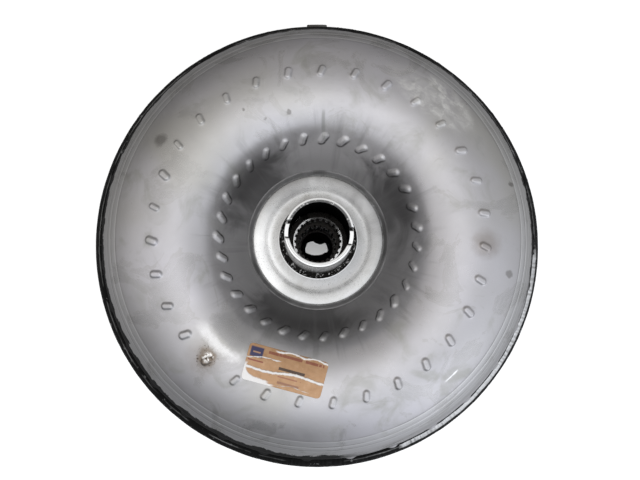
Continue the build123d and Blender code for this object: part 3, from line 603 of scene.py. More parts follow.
        # pale smear at the upper right
        sx = m.add(m.mul(x, 0.80), m.mul(y, -0.60))
        sy = m.add(m.mul(x, 0.60), m.mul(y, 0.80))
        d = m.add(m.mul(m.add(sx, -0.0062), 1.0 / 0.030), 0.0)
        e = m.mul(m.add(sy, -0.1225), 1.0 / 0.013)
        q = m.add(m.mul(d, d), m.mul(e, e), m.mul(m.add(m.noise(60, 4, 0.6), -0.5), 3.2))
        drag = m.noise(1.0, 4, 0.62, v=m.comb(m.mul(sx, 60.0), m.mul(sy, 150.0), 2.0), dist=0.8)
        smear = m.mul(m.step(q, 1.5, 0.3), m.lin(drag, 0.36, 0.62, 0.15, 1.0))
        smear = m.mul(smear, m.lin(m.step(m.noise(120, 3, 0.6), 0.44, 0.52), 0, 1, 0.45, 1.0))
        base = m.mix(m.mul(smear, 0.90), base, (0.88, 0.872, 0.855))
        rough = m.add(rough, m.mul(smear, 0.12))
        # dark smudges and specks
        for (px, py, ri, ro, amt) in (
            (-106.0, 65.0, 2.0, 6.0, 0.6), (-50.2, 84.3, 0.8, 1.8, 0.6),
            (-19.7, 83.0, 0.8, 1.8, 0.6), (-35.6, 78.3, 0.8, 1.8, 0.5),
            (130.0, 36.0, 1.0, 2.2, 0.7), (128.0, -25.0, 1.5, 3.5, 0.55),
            (-90.6, -117.0, 1.0, 2.0, 0.6), (5.3, 69.0, 0.7, 1.6, 0.5),
        ):
            k = m.near(px, py, ri, ro, wob)
            base = m.mix(m.mul(k, amt), base, (0.16, 0.15, 0.14))
        # a vertical drag mark above the hub
        k = m.mul(m.step(m.math("ABSOLUTE", m.add(x, -0.0045, m.mul(m.noise(60, 2, 0.5), 0.002))), 0.0016, 0.0006), m.mul(m.step(y, 0.064, 0.068), m.step(y, 0.086, 0.082)))
        base = m.mix(m.mul(k, 0.55), base, (0.30, 0.30, 0.29))
        # painted shade between the crest highlight and the throat
        k = m.mul(m.near(-58.0, -64.0, 9.0, 19.0, m.mul(wob, 1.5)), m.step(m.add(r, m.mul(m.add(m.noise(80, 4, 0.6), -0.5), 0.006)), 0.0950, 0.0925))
        base = m.mix(m.mul(k, 0.55), base, (0.33, 0.325, 0.335))
        # pairs below the shoulder: painted shade in each groove and a painted highlight on its outer edge
        wl = m.noise(1.0, 3, 0.6, v=m.comb(m.mul(ang2, 5.0), m.mul(r, 160.0), 5.0))
        for (rc, hw, col, amt) in (
            (137.3, 0.34, (0.20, 0.195, 0.19), 0.60), (137.95, 0.36, (0.88, 0.875, 0.87), 0.45),
            (140.9, 0.36, (0.17, 0.165, 0.16), 0.75), (141.65, 0.36, (0.90, 0.895, 0.89), 0.55),
            (143.3, 0.30, (0.20, 0.195, 0.19), 0.60), (143.9, 0.30, (0.84, 0.835, 0.83), 0.50),
        ):
            k = m.mul(m.step(m.math("ABSOLUTE", m.add(r, -rc * MM)), hw * MM, hw * 0.3 * MM), m.step(z, 0.066, 0.068))
            base = m.mix(m.mul(k, m.lin(wl, 0.35, 0.62, amt * 0.25, amt)), base, col)
        # black overspray just above the seam
        spray = m.step(m.add(z, m.mul(m.add(m.noise(110, 4, 0.65), -0.5), 0.018)), 0.0800, 0.0785)
        low = m.step(m.add(z, m.mul(m.add(m.noise(160, 3, 0.6), -0.5), 0.004)), 0.0605, 0.0590)
        spray = m.mixf(m.step(m.add(m.angle_dist(311), m.mul(m.add(m.noise(60, 3, 0.6), -0.5), 0.2)), 0.78, 0.92), spray, low)
        base = m.mix(m.mul(spray, 0.98), base, (0.008, 0.008, 0.008))
        rough = m.add(rough, m.mul(spray, 0.2))
    h = m.add(
        m.mul(m.noise(11, 3, 0.5), 1.0),
        m.mul(mid, 0.12),
        m.mul(fine, 0.012),
        m.mul(sm, -0.02),
        m.mul(m.mul(rim, lines), 0.035),
    )
    nrm = m.bump(h, 0.0009, 1.0)
    if not detail:
        return m.done(base, rough, 1.0, nrm)
    metal = m.add(1.0, m.mul(deep, -0.62), m.mul(spray, -0.95))
    metal = m.math("MAXIMUM", metal, 0.0)
    rough = m.mixf(deep, rough, 0.40)
    return m.done(base, rough, metal, nrm, Specular_IOR_Level=m.mixf(spray, 0.5, 0.02))


def turned_steel(name, color=(0.62, 0.62, 0.625), rough=0.26, ring_scale=2200.0, wet=0.0, axis_z=True):
    """Lathe-turned steel: circular lines on faces, hoops along walls."""
    m = Nodes(name)
    r = m.radius()
    x, y, z = m.sep(m.co())
    lines = m.noise(1.0, 3, 0.65, v=m.comb(m.mul(r, ring_scale), m.mul(z, ring_scale), 0.0))
    wide = m.noise(1.0, 2, 0.5, v=m.comb(m.mul(r, 240.0), m.mul(z, 240.0), 3.0))
    mid = m.noise(60, 4, 0.6, dist=0.8)
    base = m.ramp(mid, [(0.3, tuple(c * 0.82 for c in color)), (0.55, color), (0.75, tuple(min(1, c * 1.1) for c in color))])
    base = m.mix(m.lin(lines, 0.3, 0.7, 0.0, 0.35), base, tuple(c * 0.62 for c in color))
    oil = m.step(m.noise(34, 4, 0.6, dist=1.2), 0.50, 0.62)
    base = m.mix(m.mul(oil, 0.35 + wet * 0.4), base, (0.16 - 0.13 * wet, 0.15 - 0.12 * wet, 0.14 - 0.12 * wet))
    rg = m.add(m.lin(mid, 0.3, 0.7, rough - 0.05, rough + 0.08), m.mul(oil, -0.08 - 0.06 * wet))
    nick = m.step(m.noise(260, 2, 0.5), 0.72, 0.76)
    h = m.add(m.mul(lines, 0.05), m.mul(wide, 0.03), m.mul(mid, 0.05), m.mul(nick, -0.08))
    return m.done(base, rg, 1.0, m.bump(h, 0.0006, 1.0))


def hub_material():
    """Turned hub: painted highlights on the flange and tip; bore, collar and tube wall painted near black as shade."""
    m = Nodes("hub_steel_look")
    r = m.radius()
    x, y, z = m.sep(m.co())
    lines = m.noise(1.0, 3, 0.65, v=m.comb(m.mul(r, 1900.0), m.mul(z, 1900.0), 0.0))
    wide = m.noise(1.0, 2, 0.5, v=m.comb(m.mul(r, 240.0), m.mul(z, 240.0), 3.0))
    mid = m.noise(75, 4, 0.6, dist=0.8)
    grit = m.noise(1300, 2, 0.5)
    base = m.ramp(mid, [(0.3, (0.52, 0.515, 0.50)), (0.52, (0.64, 0.64, 0.635)), (0.74, (0.76, 0.76, 0.765))])
    base = m.mix(m.lin(lines, 0.3, 0.7, 0.0, 0.22), base, (0.42, 0.42, 0.41))
    # painted grey shade on the upper side of the flange's outer part, and a painted highlight on that part towards the
    # left
    darkening = m.mul(m.lin(m.angle_dist(68), -0.35, 0.65), m.lin(m.noise(55, 4, 0.6, dist=0.6), 0.30, 0.62, 0.55, 1.0))
    darkening = m.mul(darkening, m.step(r, 0.0325, 0.0345))
    flange_highlight = m.mul(m.step(m.add(m.angle_dist(195), m.mul(m.add(m.noise(40, 3, 0.6), -0.5), 0.5)), 0.55, 0.98), m.step(r, 0.0300, 0.0340))
    base = m.mix(m.mul(flange_highlight, 0.85), base, (0.97, 0.97, 0.965))
    base = m.mix(m.mul(darkening, 0.80), base, (0.25, 0.246, 0.245))
    # painted grey shade on the flange's inner part towards the lower right
    darkening = m.mul(m.lin(m.angle_dist(300), -0.2, 0.9), m.step(r, 0.0345, 0.0325))
    base = m.mix(m.mul(darkening, 0.55), base, (0.34, 0.335, 0.335))
    pits = m.mul(m.step(grit, 0.60, 0.68), m.step(m.noise(40, 3, 0.6), 0.42, 0.62))
    base = m.mix(m.mul(pits, 0.5), base, (0.20, 0.20, 0.20))
    rough = m.lin(mid, 0.3, 0.7, 0.20, 0.34)
    # painted near black shade in the bore, round the foot of the tube and up its wall
    tipm = m.step(z, 0.1384, 0.1392)
    dark = m.mul(m.step(r, 0.0264, 0.0261), m.step(z, 0.0835, 0.0842))
    bore = m.mul(m.step(r, 0.0206, 0.0203), m.step(z, 0.1400, 0.1397))
    # the outside of the tube is ground steel, painted darker as shade towards its foot and streaked above it
    wall = m.mul(m.step(r, 0.0222, 0.0228), m.step(z, 0.0860, 0.0900))
    wall = m.mul(wall, m.math("SUBTRACT", 1.0, m.step(r, 0.0234, 0.0240)))
    ang = m.math("ARCTAN2", y, x)
    streak_noise = m.noise(1.0, 4, 0.62, v=m.comb(m.mul(ang, 6.0), m.mul(z, 28.0), 1.0), dist=0.6)
    wall_shade = m.math("MAXIMUM", m.step(m.add(z, m.mul(m.add(streak_noise, -0.5), 0.020)), 0.1030, 0.0890), m.mul(m.step(streak_noise, 0.50, 0.64), 0.55))
    dark = m.mul(dark, m.mixf(wall, 1.0, wall_shade))
    dark = m.math("MAXIMUM", m.mul(dark, m.math("SUBTRACT", 1.0, tipm)), bore)
    slotf = m.mul(m.mul(m.step(z, 0.1288, 0.1291), m.step(z, 0.1297, 0.1294)), m.step(r, 0.0204, 0.0206))
    slotf = m.mul(slotf, m.step(r, 0.0229, 0.02285))
    off = m.math("ABSOLUTE", m.add(m.mul(x, math.sin(math.radians(6.5))), m.mul(y, math.cos(math.radians(6.5)))))
    slotf = m.mul(slotf, m.step(off, 0.0044, 0.0040))
    dark = m.mul(dark, m.math("SUBTRACT", 1.0, slotf))
    # the upper half of the tip's inner edge painted dark as shade
    upper = m.mul(m.mul(m.step(y, -0.004, 0.004), tipm), m.step(r, 0.0216, 0.0213))
    dark = m.math("MAXIMUM", dark, m.mul(upper, 0.9))
    # white specks painted as glints on the dark parts
    spark = m.mul(m.step(m.noise(620, 3, 0.65), 0.565, 0.63), m.math("SUBTRACT", 1.0, m.math("MAXIMUM", bore, m.mul(wall, 0.93))))
    black = m.mix(m.mul(spark, 0.8), (0.012, 0.011, 0.010), (0.80, 0.79, 0.78))
    # the tube wall painted a darker grey as shade
    base = m.mix(m.mul(wall, 0.60), base, (0.20, 0.195, 0.19))
    black = m.mix(bore, black, (0.004, 0.004, 0.004))
    base = m.mix(dark, base, black)
    g1 = m.mul(m.step(m.angle_dist(134), 0.990, 0.997), m.mul(m.step(z, 0.080, 0.082), m.step(z, 0.090, 0.087)))
    g2 = m.mul(m.step(m.angle_dist(160), 0.975, 0.992), m.mul(m.step(z, 0.078, 0.079), m.step(z, 0.086, 0.084)))
    glint = m.mul(m.mul(m.math("MAXIMUM", g1, g2), bore), m.step(m.noise(420, 2, 0.5), 0.46, 0.56))
    base = m.mix(glint, base, (0.95, 0.95, 0.94))
    # painted highlights on the tip ring, the slot faces and the collar ring, with a dark line painted across the tip
    tipr = m.mul(tipm, m.math("SUBTRACT", 1.0, m.math("MAXIMUM", dark, bore)))
    edge_highlight = m.math("MAXIMUM", slotf, tipr)
    edge_highlight = m.math("MAXIMUM", edge_highlight, m.mul(m.step(r, 0.0262, 0.0265), m.step(r, 0.0272, 0.0268)))
    tip_dark_line = m.mul(m.mul(m.step(r, 0.0213, 0.0215), m.step(r, 0.0219, 0.0217)), tipm)
    base = m.mix(m.mul(edge_highlight, 0.85), base, (0.95, 0.95, 0.945))
    base = m.mix(m.mul(tip_dark_line, 0.55), base, (0.25, 0.25, 0.25))
    rough = m.mixf(dark, rough, 0.42)
    h = m.add(m.mul(lines, 0.05), m.mul(wide, 0.03), m.mul(mid, 0.09), m.mul(pits, -0.03))
    return m.done(
        base, rough, m.math("SUBTRACT", 1.0, dark), m.bump(h, 0.0006, 1.0),
        Specular_IOR_Level=m.mixf(bore, m.mixf(dark, 0.5, 0.06), 0.0),
    )


def pilot_material():
    """Turned boss; its inner face, wet with oil, is painted black as shade, but for a ragged pool painted bright as a
    reflection of the light.
    """
    m = Nodes("pilot_steel_look")
    r = m.radius()
    x, y, z = m.sep(m.co())
    lines = m.noise(1.0, 3, 0.65, v=m.comb(m.mul(r, 2200.0), m.mul(z, 2200.0), 0.0))
    mid = m.noise(60, 4, 0.6, dist=0.8)
    base = m.ramp(mid, [(0.3, (0.46, 0.455, 0.45)), (0.55, (0.56, 0.56, 0.565)), (0.75, (0.62, 0.62, 0.63))])
    base = m.mix(m.lin(lines, 0.3, 0.7, 0.0, 0.3), base, (0.33, 0.33, 0.33))
    # inner face: near black, non-metal and without specular as painted shade, but for the ragged pool painted bright,
    # metallic and smooth as a reflection
    inside = m.step(z, 0.0035, 0.0045)
    ex = m.mul(m.add(x, 0.0002), 1 / 0.0102)
    ey = m.mul(m.add(y, -0.0012), 1 / 0.0051)
    bite = m.mul(m.step(m.math("ABSOLUTE", m.add(x, -0.0022)), 0.0050, 0.0), m.step(y, 0.0020, 0.0066))
    q = m.add(m.mul(ex, ex), m.mul(ey, ey), m.mul(m.add(m.noise(150, 2, 0.5), -0.5), 0.9), m.mul(bite, 1.1))
    pool_reflection = m.step(q, 0.94, 0.86)
    wet = m.mix(pool_reflection, (0.012, 0.011, 0.010), (0.97, 0.97, 0.96))
    base = m.mix(inside, base, wet)
    rough = m.mixf(inside, m.lin(mid, 0.3, 0.7, 0.24, 0.36), m.mixf(pool_reflection, 0.10, 0.30))
    h = m.add(m.mul(m.mul(lines, 0.05), m.math("SUBTRACT", 1.0, inside)), m.mul(mid, 0.04))
    metal = m.math("SUBTRACT", 1.0, m.mul(inside, m.math("SUBTRACT", 1.0, pool_reflection)))
    return m.done(base, rough, metal, m.bump(h, 0.0006, 1.0), Specular_IOR_Level=m.mixf(inside, 0.25, 0.0))


def oily_shaded_steel(name, color, ring=None):
    """Internal steel with patches of oil film: walls painted near black as shade, flat faces dull metal; an optional
    ring edge painted as a highlight.
    """
    m = Nodes(name)
    r = m.radius()
    x, y, z = m.sep(m.co())
    geo = m.node("ShaderNodeNewGeometry").outputs["Normal"]
    nx, ny, nz = m.sep(geo)
    flat = m.step(m.math("ABSOLUTE", nz), 0.35, 0.8)
    lines = m.noise(1.0, 3, 0.65, v=m.comb(m.mul(r, 3200.0), m.mul(z, 3200.0), 0.0))
    mid = m.noise(85, 4, 0.6, dist=0.8)
    darkening = m.step(m.noise(48, 4, 0.6, dist=1.0), 0.38, 0.62)
    steel = m.ramp(mid, [(0.3, tuple(c * 0.7 for c in color)), (0.55, color), (0.75, tuple(min(1, c * 1.25) for c in color))])
    steel = m.mix(m.mul(darkening, 0.75), steel, (0.035, 0.032, 0.030))
    # walls painted near black as shade, flat faces keep the steel
    base = m.mix(flat, (0.010, 0.009, 0.008), steel)
    metal = m.mul(flat, m.math("SUBTRACT", 1.0, m.mul(darkening, 0.5)))
    if ring:
        # the ring edge painted as a highlight, brightest in two arcs towards the left and the lower right
        edge = m.mul(m.mul(m.step(r, ring[0] - 0.0002, ring[0]), m.step(r, ring[1] + 0.0002, ring[1])), m.step(z, ring[2] - 0.0005, ring[2]))
        highlight_arcs = m.math("MAXIMUM", m.step(m.angle_dist(160), 0.45, 0.85), m.step(m.angle_dist(335), 0.40, 0.85))
        base = m.mix(m.mul(edge, m.lin(highlight_arcs, 0, 1, 0.10, 1.0)), base, (0.96, 0.96, 0.955))
        metal = m.math("MAXIMUM", metal, edge)
    h = m.add(m.mul(lines, 0.04), m.mul(mid, 0.06))
    return m.done(base, m.lin(mid, 0.3, 0.7, 0.20, 0.34), metal, m.bump(h, 0.0005, 1.0), Specular_IOR_Level=0.08)


def plain_steel(name, color, rough, grain=300.0, var=0.25, bump=0.25, metallic=1.0, tint=None):
    """Blanked or cast metal with mottling, grain and a few dark specks."""
    m = Nodes(name)
    big = m.noise(22, 4, 0.6, dist=0.7)
    fine = m.noise(grain, 3, 0.6)
    lo = tuple(c * (1 - var) for c in color)
    hi = tuple(min(1, c * (1 + var * 0.7)) for c in color)
    base = m.ramp(big, [(0.28, lo), (0.5, color), (0.74, hi)])
    if tint:
        base = m.mix(m.mul(m.step(m.noise(47, 4, 0.65), 0.52, 0.66), 0.6), base, tint)
    specks = m.step(m.noise(600, 2, 0.5), 0.68, 0.74)
    base = m.mix(m.mul(specks, 0.4), base, tuple(c * 0.35 for c in color))
    rg = m.add(m.lin(big, 0.3, 0.7, rough - 0.06, rough + 0.08), m.lin(fine, 0.3, 0.7, -0.04, 0.04))
    h = m.add(m.mul(big, 0.3), m.mul(fine, bump * 0.4))
    return m.done(base, rg, metallic, m.bump(h, 0.0005, 1.0))


def cover_material():
    """Front cover: dull pressed steel, black overspray near the seam, rust bloom."""
    m = Nodes("cover_steel_look")
    x, y, z = m.sep(m.co())
    big = m.noise(14, 4, 0.6, dist=0.8)
    fine = m.noise(380, 3, 0.6)
    base = m.ramp(big, [(0.28, (0.36, 0.355, 0.35)), (0.5, (0.46, 0.46, 0.465)), (0.74, (0.55, 0.55, 0.56))])
    st = m.noise(26, 5, 0.65, dist=1.4)
    rust = m.step(st, 0.60, 0.72)
    base = m.mix(m.mul(rust, 0.45), base, (0.25, 0.17, 0.11))
    # drawn lines along the wall
    hoop = m.noise(1.0, 3, 0.6, v=m.comb(m.mul(z, 900.0), m.mul(m.radius(), 900.0), 0.0))
    base = m.mix(m.lin(hoop, 0.35, 0.7, 0.0, 0.3), base, (0.26, 0.26, 0.26))
    edge_n = m.mul(m.add(m.noise(45, 4, 0.65), -0.5), 0.016)
    black = m.step(m.add(z, edge_n), 0.0405, 0.0445)
    bare_dir = m.step(m.angle_dist(325), 0.80, 0.93)
    chips = m.step(m.noise(210, 3, 0.6), 0.60, 0.64)
    bare = m.math("MAXIMUM", m.mul(bare_dir, m.step(m.noise(90, 3, 0.6), 0.60, 0.68)), m.mul(chips, 0.6))
    paint = m.mul(black, m.math("SUBTRACT", 1.0, bare))
    base = m.mix(m.mul(paint, 0.97), base, (0.010, 0.010, 0.010))
    rg = m.mixf(paint, m.lin(big, 0.3, 0.7, 0.38, 0.52), 0.42)
    metal = m.math("SUBTRACT", 1.0, m.mul(paint, 0.95))
    h = m.add(m.mul(big, 0.5), m.mul(fine, 0.05), m.mul(hoop, 0.05), m.mul(paint, 0.05), m.mul(m.mul(paint, m.noise(500, 3, 0.6)), 0.06))
    return m.done(base, rg, metal, m.bump(h, 0.0006, 1.0), Specular_IOR_Level=m.mixf(paint, 0.5, 0.05))


def weld_material(name, black=True):
    m = Nodes(name)
    n1 = m.noise(120, 4, 0.65, dist=0.6)
    n2 = m.noise(900, 3, 0.6)
    bead = m.ramp(n1, [(0.3, (0.24, 0.235, 0.23)), (0.5, (0.42, 0.42, 0.415)), (0.72, (0.66, 0.66, 0.67))])
    heat = m.step(m.noise(45, 3, 0.6), 0.55, 0.7)
    bead = m.mix(m.mul(heat, 0.25), bead, (0.23, 0.21, 0.19))
    if not black:
        h = m.add(m.mul(n1, 0.3), m.mul(n2, 0.12))
        # beyond about 45.6 mm from the axis the bead is painted darker as shade round the hub joint; the lug beads,
        # further out, take this darker tone all over
        bead = m.mix(m.step(m.radius(), 0.0440, 0.0456), bead, m.mix(m.step(m.noise(30, 3, 0.6), 0.4, 0.6), (0.24, 0.236, 0.237), (0.13, 0.128, 0.128)))
        return m.done(bead, m.lin(n1, 0.3, 0.7, 0.38, 0.52), 0.55, m.bump(h, 0.0006, 1.0))
    # painted all round but for a bare stretch at the lower right and patches at the right
    a = m.angle_dist(325)
    thr = m.step(a, 0.74, 0.92)
    b = m.mul(m.step(m.angle_dist(50), 0.60, 0.90), 0.22)
    want = m.math("MAXIMUM", thr, b)
    field = m.add(m.mul(want, 0.75), m.mul(m.noise(75, 4, 0.65), 0.9))
    bare = m.step(field, 0.80, 0.92)
    chips = m.step(m.noise(240, 3, 0.6), 0.66, 0.69)
    # the bead's two edges stay black; its crest is rubbed to a thin line all round
    r = m.add(m.radius(), m.mul(m.add(m.noise(110, 3, 0.6), -0.5), 0.0012))
    crest = m.mul(m.step(r, 0.1502, 0.1507), m.step(r, 0.1533, 0.1527))
    rub = m.mul(m.mul(m.step(r, 0.1513, 0.1516), m.step(r, 0.1523, 0.1520)), m.lin(m.noise(35, 3, 0.6), 0.42, 0.64, 0.0, 0.45))
    bare = m.mul(m.math("MAXIMUM", m.math("MAXIMUM", bare, m.mul(chips, 0.35)), rub), crest)
    bead = m.mix(m.mul(thr, 0.50), bead, (0.84, 0.84, 0.85))
    base = m.mix(bare, (0.008, 0.008, 0.008), bead)
    rg = m.mixf(bare, m.lin(n2, 0.3, 0.7, 0.30, 0.48), m.lin(n1, 0.3, 0.7, 0.28, 0.46))
    h = m.add(m.mul(n1, 0.35), m.mul(n2, 0.16), m.mul(bare, -0.12))
    return m.done(base, rg, m.lin(bare, 0, 1, 0.0, 1.0), m.bump(h, 0.0006, 1.0), Specular_IOR_Level=m.mixf(bare, 0.03, 0.5))


def foil_material():
    """Copper-coloured foil with plain printed blocks and bars, and highlights painted along its creases and on a
    lifted corner.
    """
    m = Nodes("foil_label_look")
    u, v, w = m.sep(m.uv())
    co = m.comb(m.mul(u, 1.0), m.mul(v, 1.0), 0.0)

    def rect(u0, u1, v0, v1, s=0.25):
        a = m.mul(m.step(u, u0 - s, u0 + s), m.step(u, u1 + s, u1 - s))
        b = m.mul(m.step(v, v0 - s, v0 + s), m.step(v, v1 + s, v1 - s))
        return m.mul(a, b)

    n = m.noise(0.16, 3, 0.6, v=co)
    base = m.ramp(n, [(0.3, (0.43, 0.235, 0.110)), (0.5, (0.51, 0.290, 0.145)), (0.72, (0.59, 0.360, 0.200))])
    # navy block, plain
    base = m.mix(m.mul(rect(-25.4, -16.8, 3.9, 10.6, 0.5), 0.95), base, (0.020, 0.030, 0.115))
    base = m.mix(rect(-23.6, -18.6, 6.6, 7.6, 0.2), base, (0.46, 0.27, 0.17))
    base = m.mix(m.mul(rect(-25.8, -15.4, 0.9, 1.9, 0.2), 0.8), base, (0.24, 0.03, 0.025))
    # bars where the printed lines were
    gaps = m.step(m.noise(0.9, 1, 0.5, v=m.comb(u, 0.0, 4.0)), 0.36, 0.42)
    base = m.mix(m.mul(m.mul(rect(-13.4, 24.6, 8.1, 10.0, 0.2), gaps), 0.75), base, (0.26, 0.055, 0.035))
    gaps2 = m.step(m.noise(0.9, 1, 0.5, v=m.comb(u, 0.0, 9.0)), 0.30, 0.36)
    base = m.mix(m.mul(m.mul(rect(-4.4, 13.4, -0.6, 1.3, 0.2), gaps2), 0.9), base, (0.03, 0.018, 0.014))
    base = m.mix(m.mul(m.mul(rect(-3.8, 12.2, -5.4, -4.5, 0.2), gaps), 0.6), base, (0.26, 0.055, 0.035))
    base = m.mix(m.mul(m.mul(rect(-3.2, 11.6, -9.6, -8.0, 0.2), gaps2), 0.6), base, (0.20, 0.07, 0.05))
    # painted highlights along the creases, as soft-edged bright curves that also raise the bump
    wob = m.mul(m.add(m.noise(0.22, 3, 0.6, v=m.comb(u, 0.0, 0.0)), -0.5), 1.0)

    def crease_highlight(f0, slope, amp, freq, ph, width, u0, u1):
        line = m.add(f0, m.mul(u, slope), m.mul(m.math("SINE", m.add(m.mul(u, freq), ph)), amp), m.mul(wob, 1.6))
        d = m.math("ABSOLUTE", m.math("SUBTRACT", v, line))
        wv = m.add(d, m.mul(m.add(m.noise(0.35, 2, 0.5, v=co), -0.5), -1.1))
        k = m.step(wv, width, width * 0.35)
        return m.mul(k, m.mul(m.step(u, u0, u0 + 3), m.step(u, u1, u1 - 3)))

    c1 = crease_highlight(-2.7, 0.035, 0.9, 0.16, 0.4, 1.15, -31, 31)
    c2 = crease_highlight(11.6, 0.0, 0.7, 0.38, 0.8, 0.85, -10, 31)
    c3 = crease_highlight(6.0, 0.10, 0.5, 0.3, 0.0, 0.45, -31, -3)
    c4 = crease_highlight(-12.2, -0.12, 0.4, 0.2, 2.0, 1.9, -31, -8)
    c5 = crease_highlight(-10.6, 0.05, 0.8, 0.25, 0.0, 0.3, -6, 20)
    cr = m.math("MAXIMUM", m.math("MAXIMUM", c1, c2), m.math("MAXIMUM", m.mul(c3, 0.9), m.math("MAXIMUM", c4, m.mul(c5, 0.4))))
    # painted glare on the lower left corner
    gu, gv = m.add(u, 8.0), m.add(v, 3.0)
    gd = m.add(m.mul(m.mul(gu, gu), 1.0 / 300.0), m.mul(m.mul(gv, gv), 1.0 / 64.0), m.mul(m.add(m.noise(0.25, 2, 0.5, v=co), -0.5), 0.35))
    corner = m.mul(m.step(gd, 0.98, 1.12), m.mul(m.step(v, 0.5, -2.5), m.step(u, -4.0, -8.0)))
    cr = m.math("MAXIMUM", cr, corner)
    base = m.mix(m.mul(cr, 0.95), base, (0.97, 0.96, 0.95))
    rough = m.mixf(cr, m.lin(n, 0.3, 0.7, 0.30, 0.40), 0.5)
    h = m.add(m.mul(m.noise(0.09, 3, 0.5, v=co), 1.2), m.mul(m.noise(0.5, 3, 0.6, v=co), 0.12), m.mul(cr, 0.5))
    metal = m.lin(cr, 0, 1, 0.35, 0.0)
    return m.done(base, rough, metal, m.bump(h, 0.0006, 1.0), Coat_Weight=0.6, Coat_Roughness=0.12)


# ------------------------------------------------------------------ pieces
shell = build_shell()
assign(shell, shell_material())
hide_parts("impeller_shell")


def build_seam():
    n = 1800
    th = np.linspace(0, 2 * PI, n, endpoint=False)
    # cross-section from under the lip over the bead to the cover's edge
    sec = [(148.6, 55.6), (149.3, 57.0), (150.2, 57.0), (151.3, 56.2), (152.3, 55.0), (153.2, 53.6), (154.0, 52.1), (154.5, 50.7), (154.3, 49.4), (151.5, 49.2)]
    rip = ring_noise(th, 5, 230, 420, 0.2)
    lump = ring_noise(th, 6, 20, 110, 0.4)
    wave = ring_noise(th, 7, 3, 20, 0.5)
    verts = []
    for i, (r, z) in enumerate(sec):
        f = math.sin(PI * min(max((i - 0.5) / 8.0, 0), 1))
        rn = ring_noise(th, 40 + i, 60, 300, 0.5)
        d = f * (0.16 * rip + 0.26 * lump + 0.16 * wave + 0.10 * rn)
        d = np.clip(d, -0.8, 0.9)
        rr = r + d * 0.55
        zz = z + d * 0.83
        verts.append(np.c_[rr * np.cos(th), rr * np.sin(th), zz] * MM)
    ob = make_mesh("seam_bead", np.vstack(verts), grid_faces(len(sec), n, True, True))
    recalc(ob)
    return ob


seam = build_seam()
assign(seam, weld_material("seam_weld_look", True))
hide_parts("seam_weld")


def build_cover():
    o = RIM_R
    prof = [
        (30, 4), (84.5, 4), (96.5, FACE_Z), (o, FACE_Z), (o, COVER_TOP),
        (o - 5, COVER_TOP), (o - 5, 15.9), (96, 15.9), (86, 8), (30, 8),
    ]
    prof = rounded(prof, {1: 6, 2: 6, 3: 10, 4: 1.0, 6: 6, 7: 4, 8: 4}, 6)
    ob = lathe("cover_pressing", prof, n=384, sharp=28)
    # slightly uneven top edge, where the weld bit into it
    me = ob.data
    co = np.zeros(len(me.vertices) * 3)
    me.vertices.foreach_get("co", co)
    co = co.reshape(-1, 3)
    th = np.arctan2(co[:, 1], co[:, 0])
    r = np.hypot(co[:, 0], co[:, 1])
    up = sstep(0.0475, 0.0500, co[:, 2])
    co[:, 2] += up * (0.18 * ring_noise(th, 11, 10, 70, 0.5) - 0.10) * MM
    wob = up * 0.10 * ring_noise(th, 12, 6, 60, 0.5) * MM
    co[:, 0] *= 1 - np.abs(wob) / r
    co[:, 1] *= 1 - np.abs(wob) / r
    me.vertices.foreach_set("co", co.ravel())
    me.update()
    return ob


cover = build_cover()
assign(cover, cover_material())
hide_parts("front_cover")


# pump-drive hub: flange and tube turned, drive slots cut through the tip
def build_hub():
    tip = HUB_TIP
    floor = tip - 11.0
    prof = [
        (20.0, 77.0), (44.9, 77.0), (44.9, 83.2), (43.9, 84.2), (42.6, 84.5), (40.6, 84.62), (38.0, 84.55),
        (36.2, 84.35), (34.6, 84.1), (33.0, 83.95), (31.0, 84.25), (28.6, 84.85), (27.4, 85.3), (26.6, 85.6),
        (25.3, 84.6), (23.0, 84.6), (23.0, floor), (20.0, floor),
    ]
    prof = rounded(prof, {2: 0.9, 3: 1.0}, 4)
    body = lathe("hub_body", prof, n=256, sharp=30)
    verts, faces = [], []
    slot = math.radians(-6.5)
    half = 6.0
    sec = [(20.0, floor), (20.0, tip - 0.45), (20.12, tip - 0.15), (20.4, tip), (22.55, tip), (22.85, tip - 0.15), (23.0, tip - 0.5), (23.0, floor)]
    for side in (0, 1):
        base = len(verts)
        n = 112
        for (r, z) in sec:
            a0 = math.asin(half / r)
            a1 = PI - a0
            for j in range(n):
                t = j / (n - 1)
                # ease towards the ends, and round the slot's upper corners a little
                a = slot + side * PI + a0 + (a1 - a0) * t
                edge = min(t, 1 - t) * (a1 - a0) * r
                dz = 0.45 * max(0.0, 1 - edge / 0.8) ** 2 if z > tip - 0.5 else 0.0
                verts.append((r * math.cos(a) * MM, r * math.sin(a) * MM, (z - dz) * MM))
        m = len(sec)
        for i in range(m):
            k = (i + 1) % m
            for j in range(n - 1):
                faces.append((base + i * n + j, base + i * n + j + 1, base + k * n + j + 1, base + k * n + j))
        faces.append(tuple(base + i * n for i in range(m)))
        faces.append(tuple(base + i * n + n - 1 for i in range(m))[::-1])
    crown = make_mesh("hub_crown", verts, faces)
    recalc(crown)
    sharpen(crown, 40)
    return body, crown


hub, crown = build_hub()
HUB_MAT = hub_material()
assign(hub, HUB_MAT)
assign(crown, HUB_MAT)
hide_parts("impeller_hub")


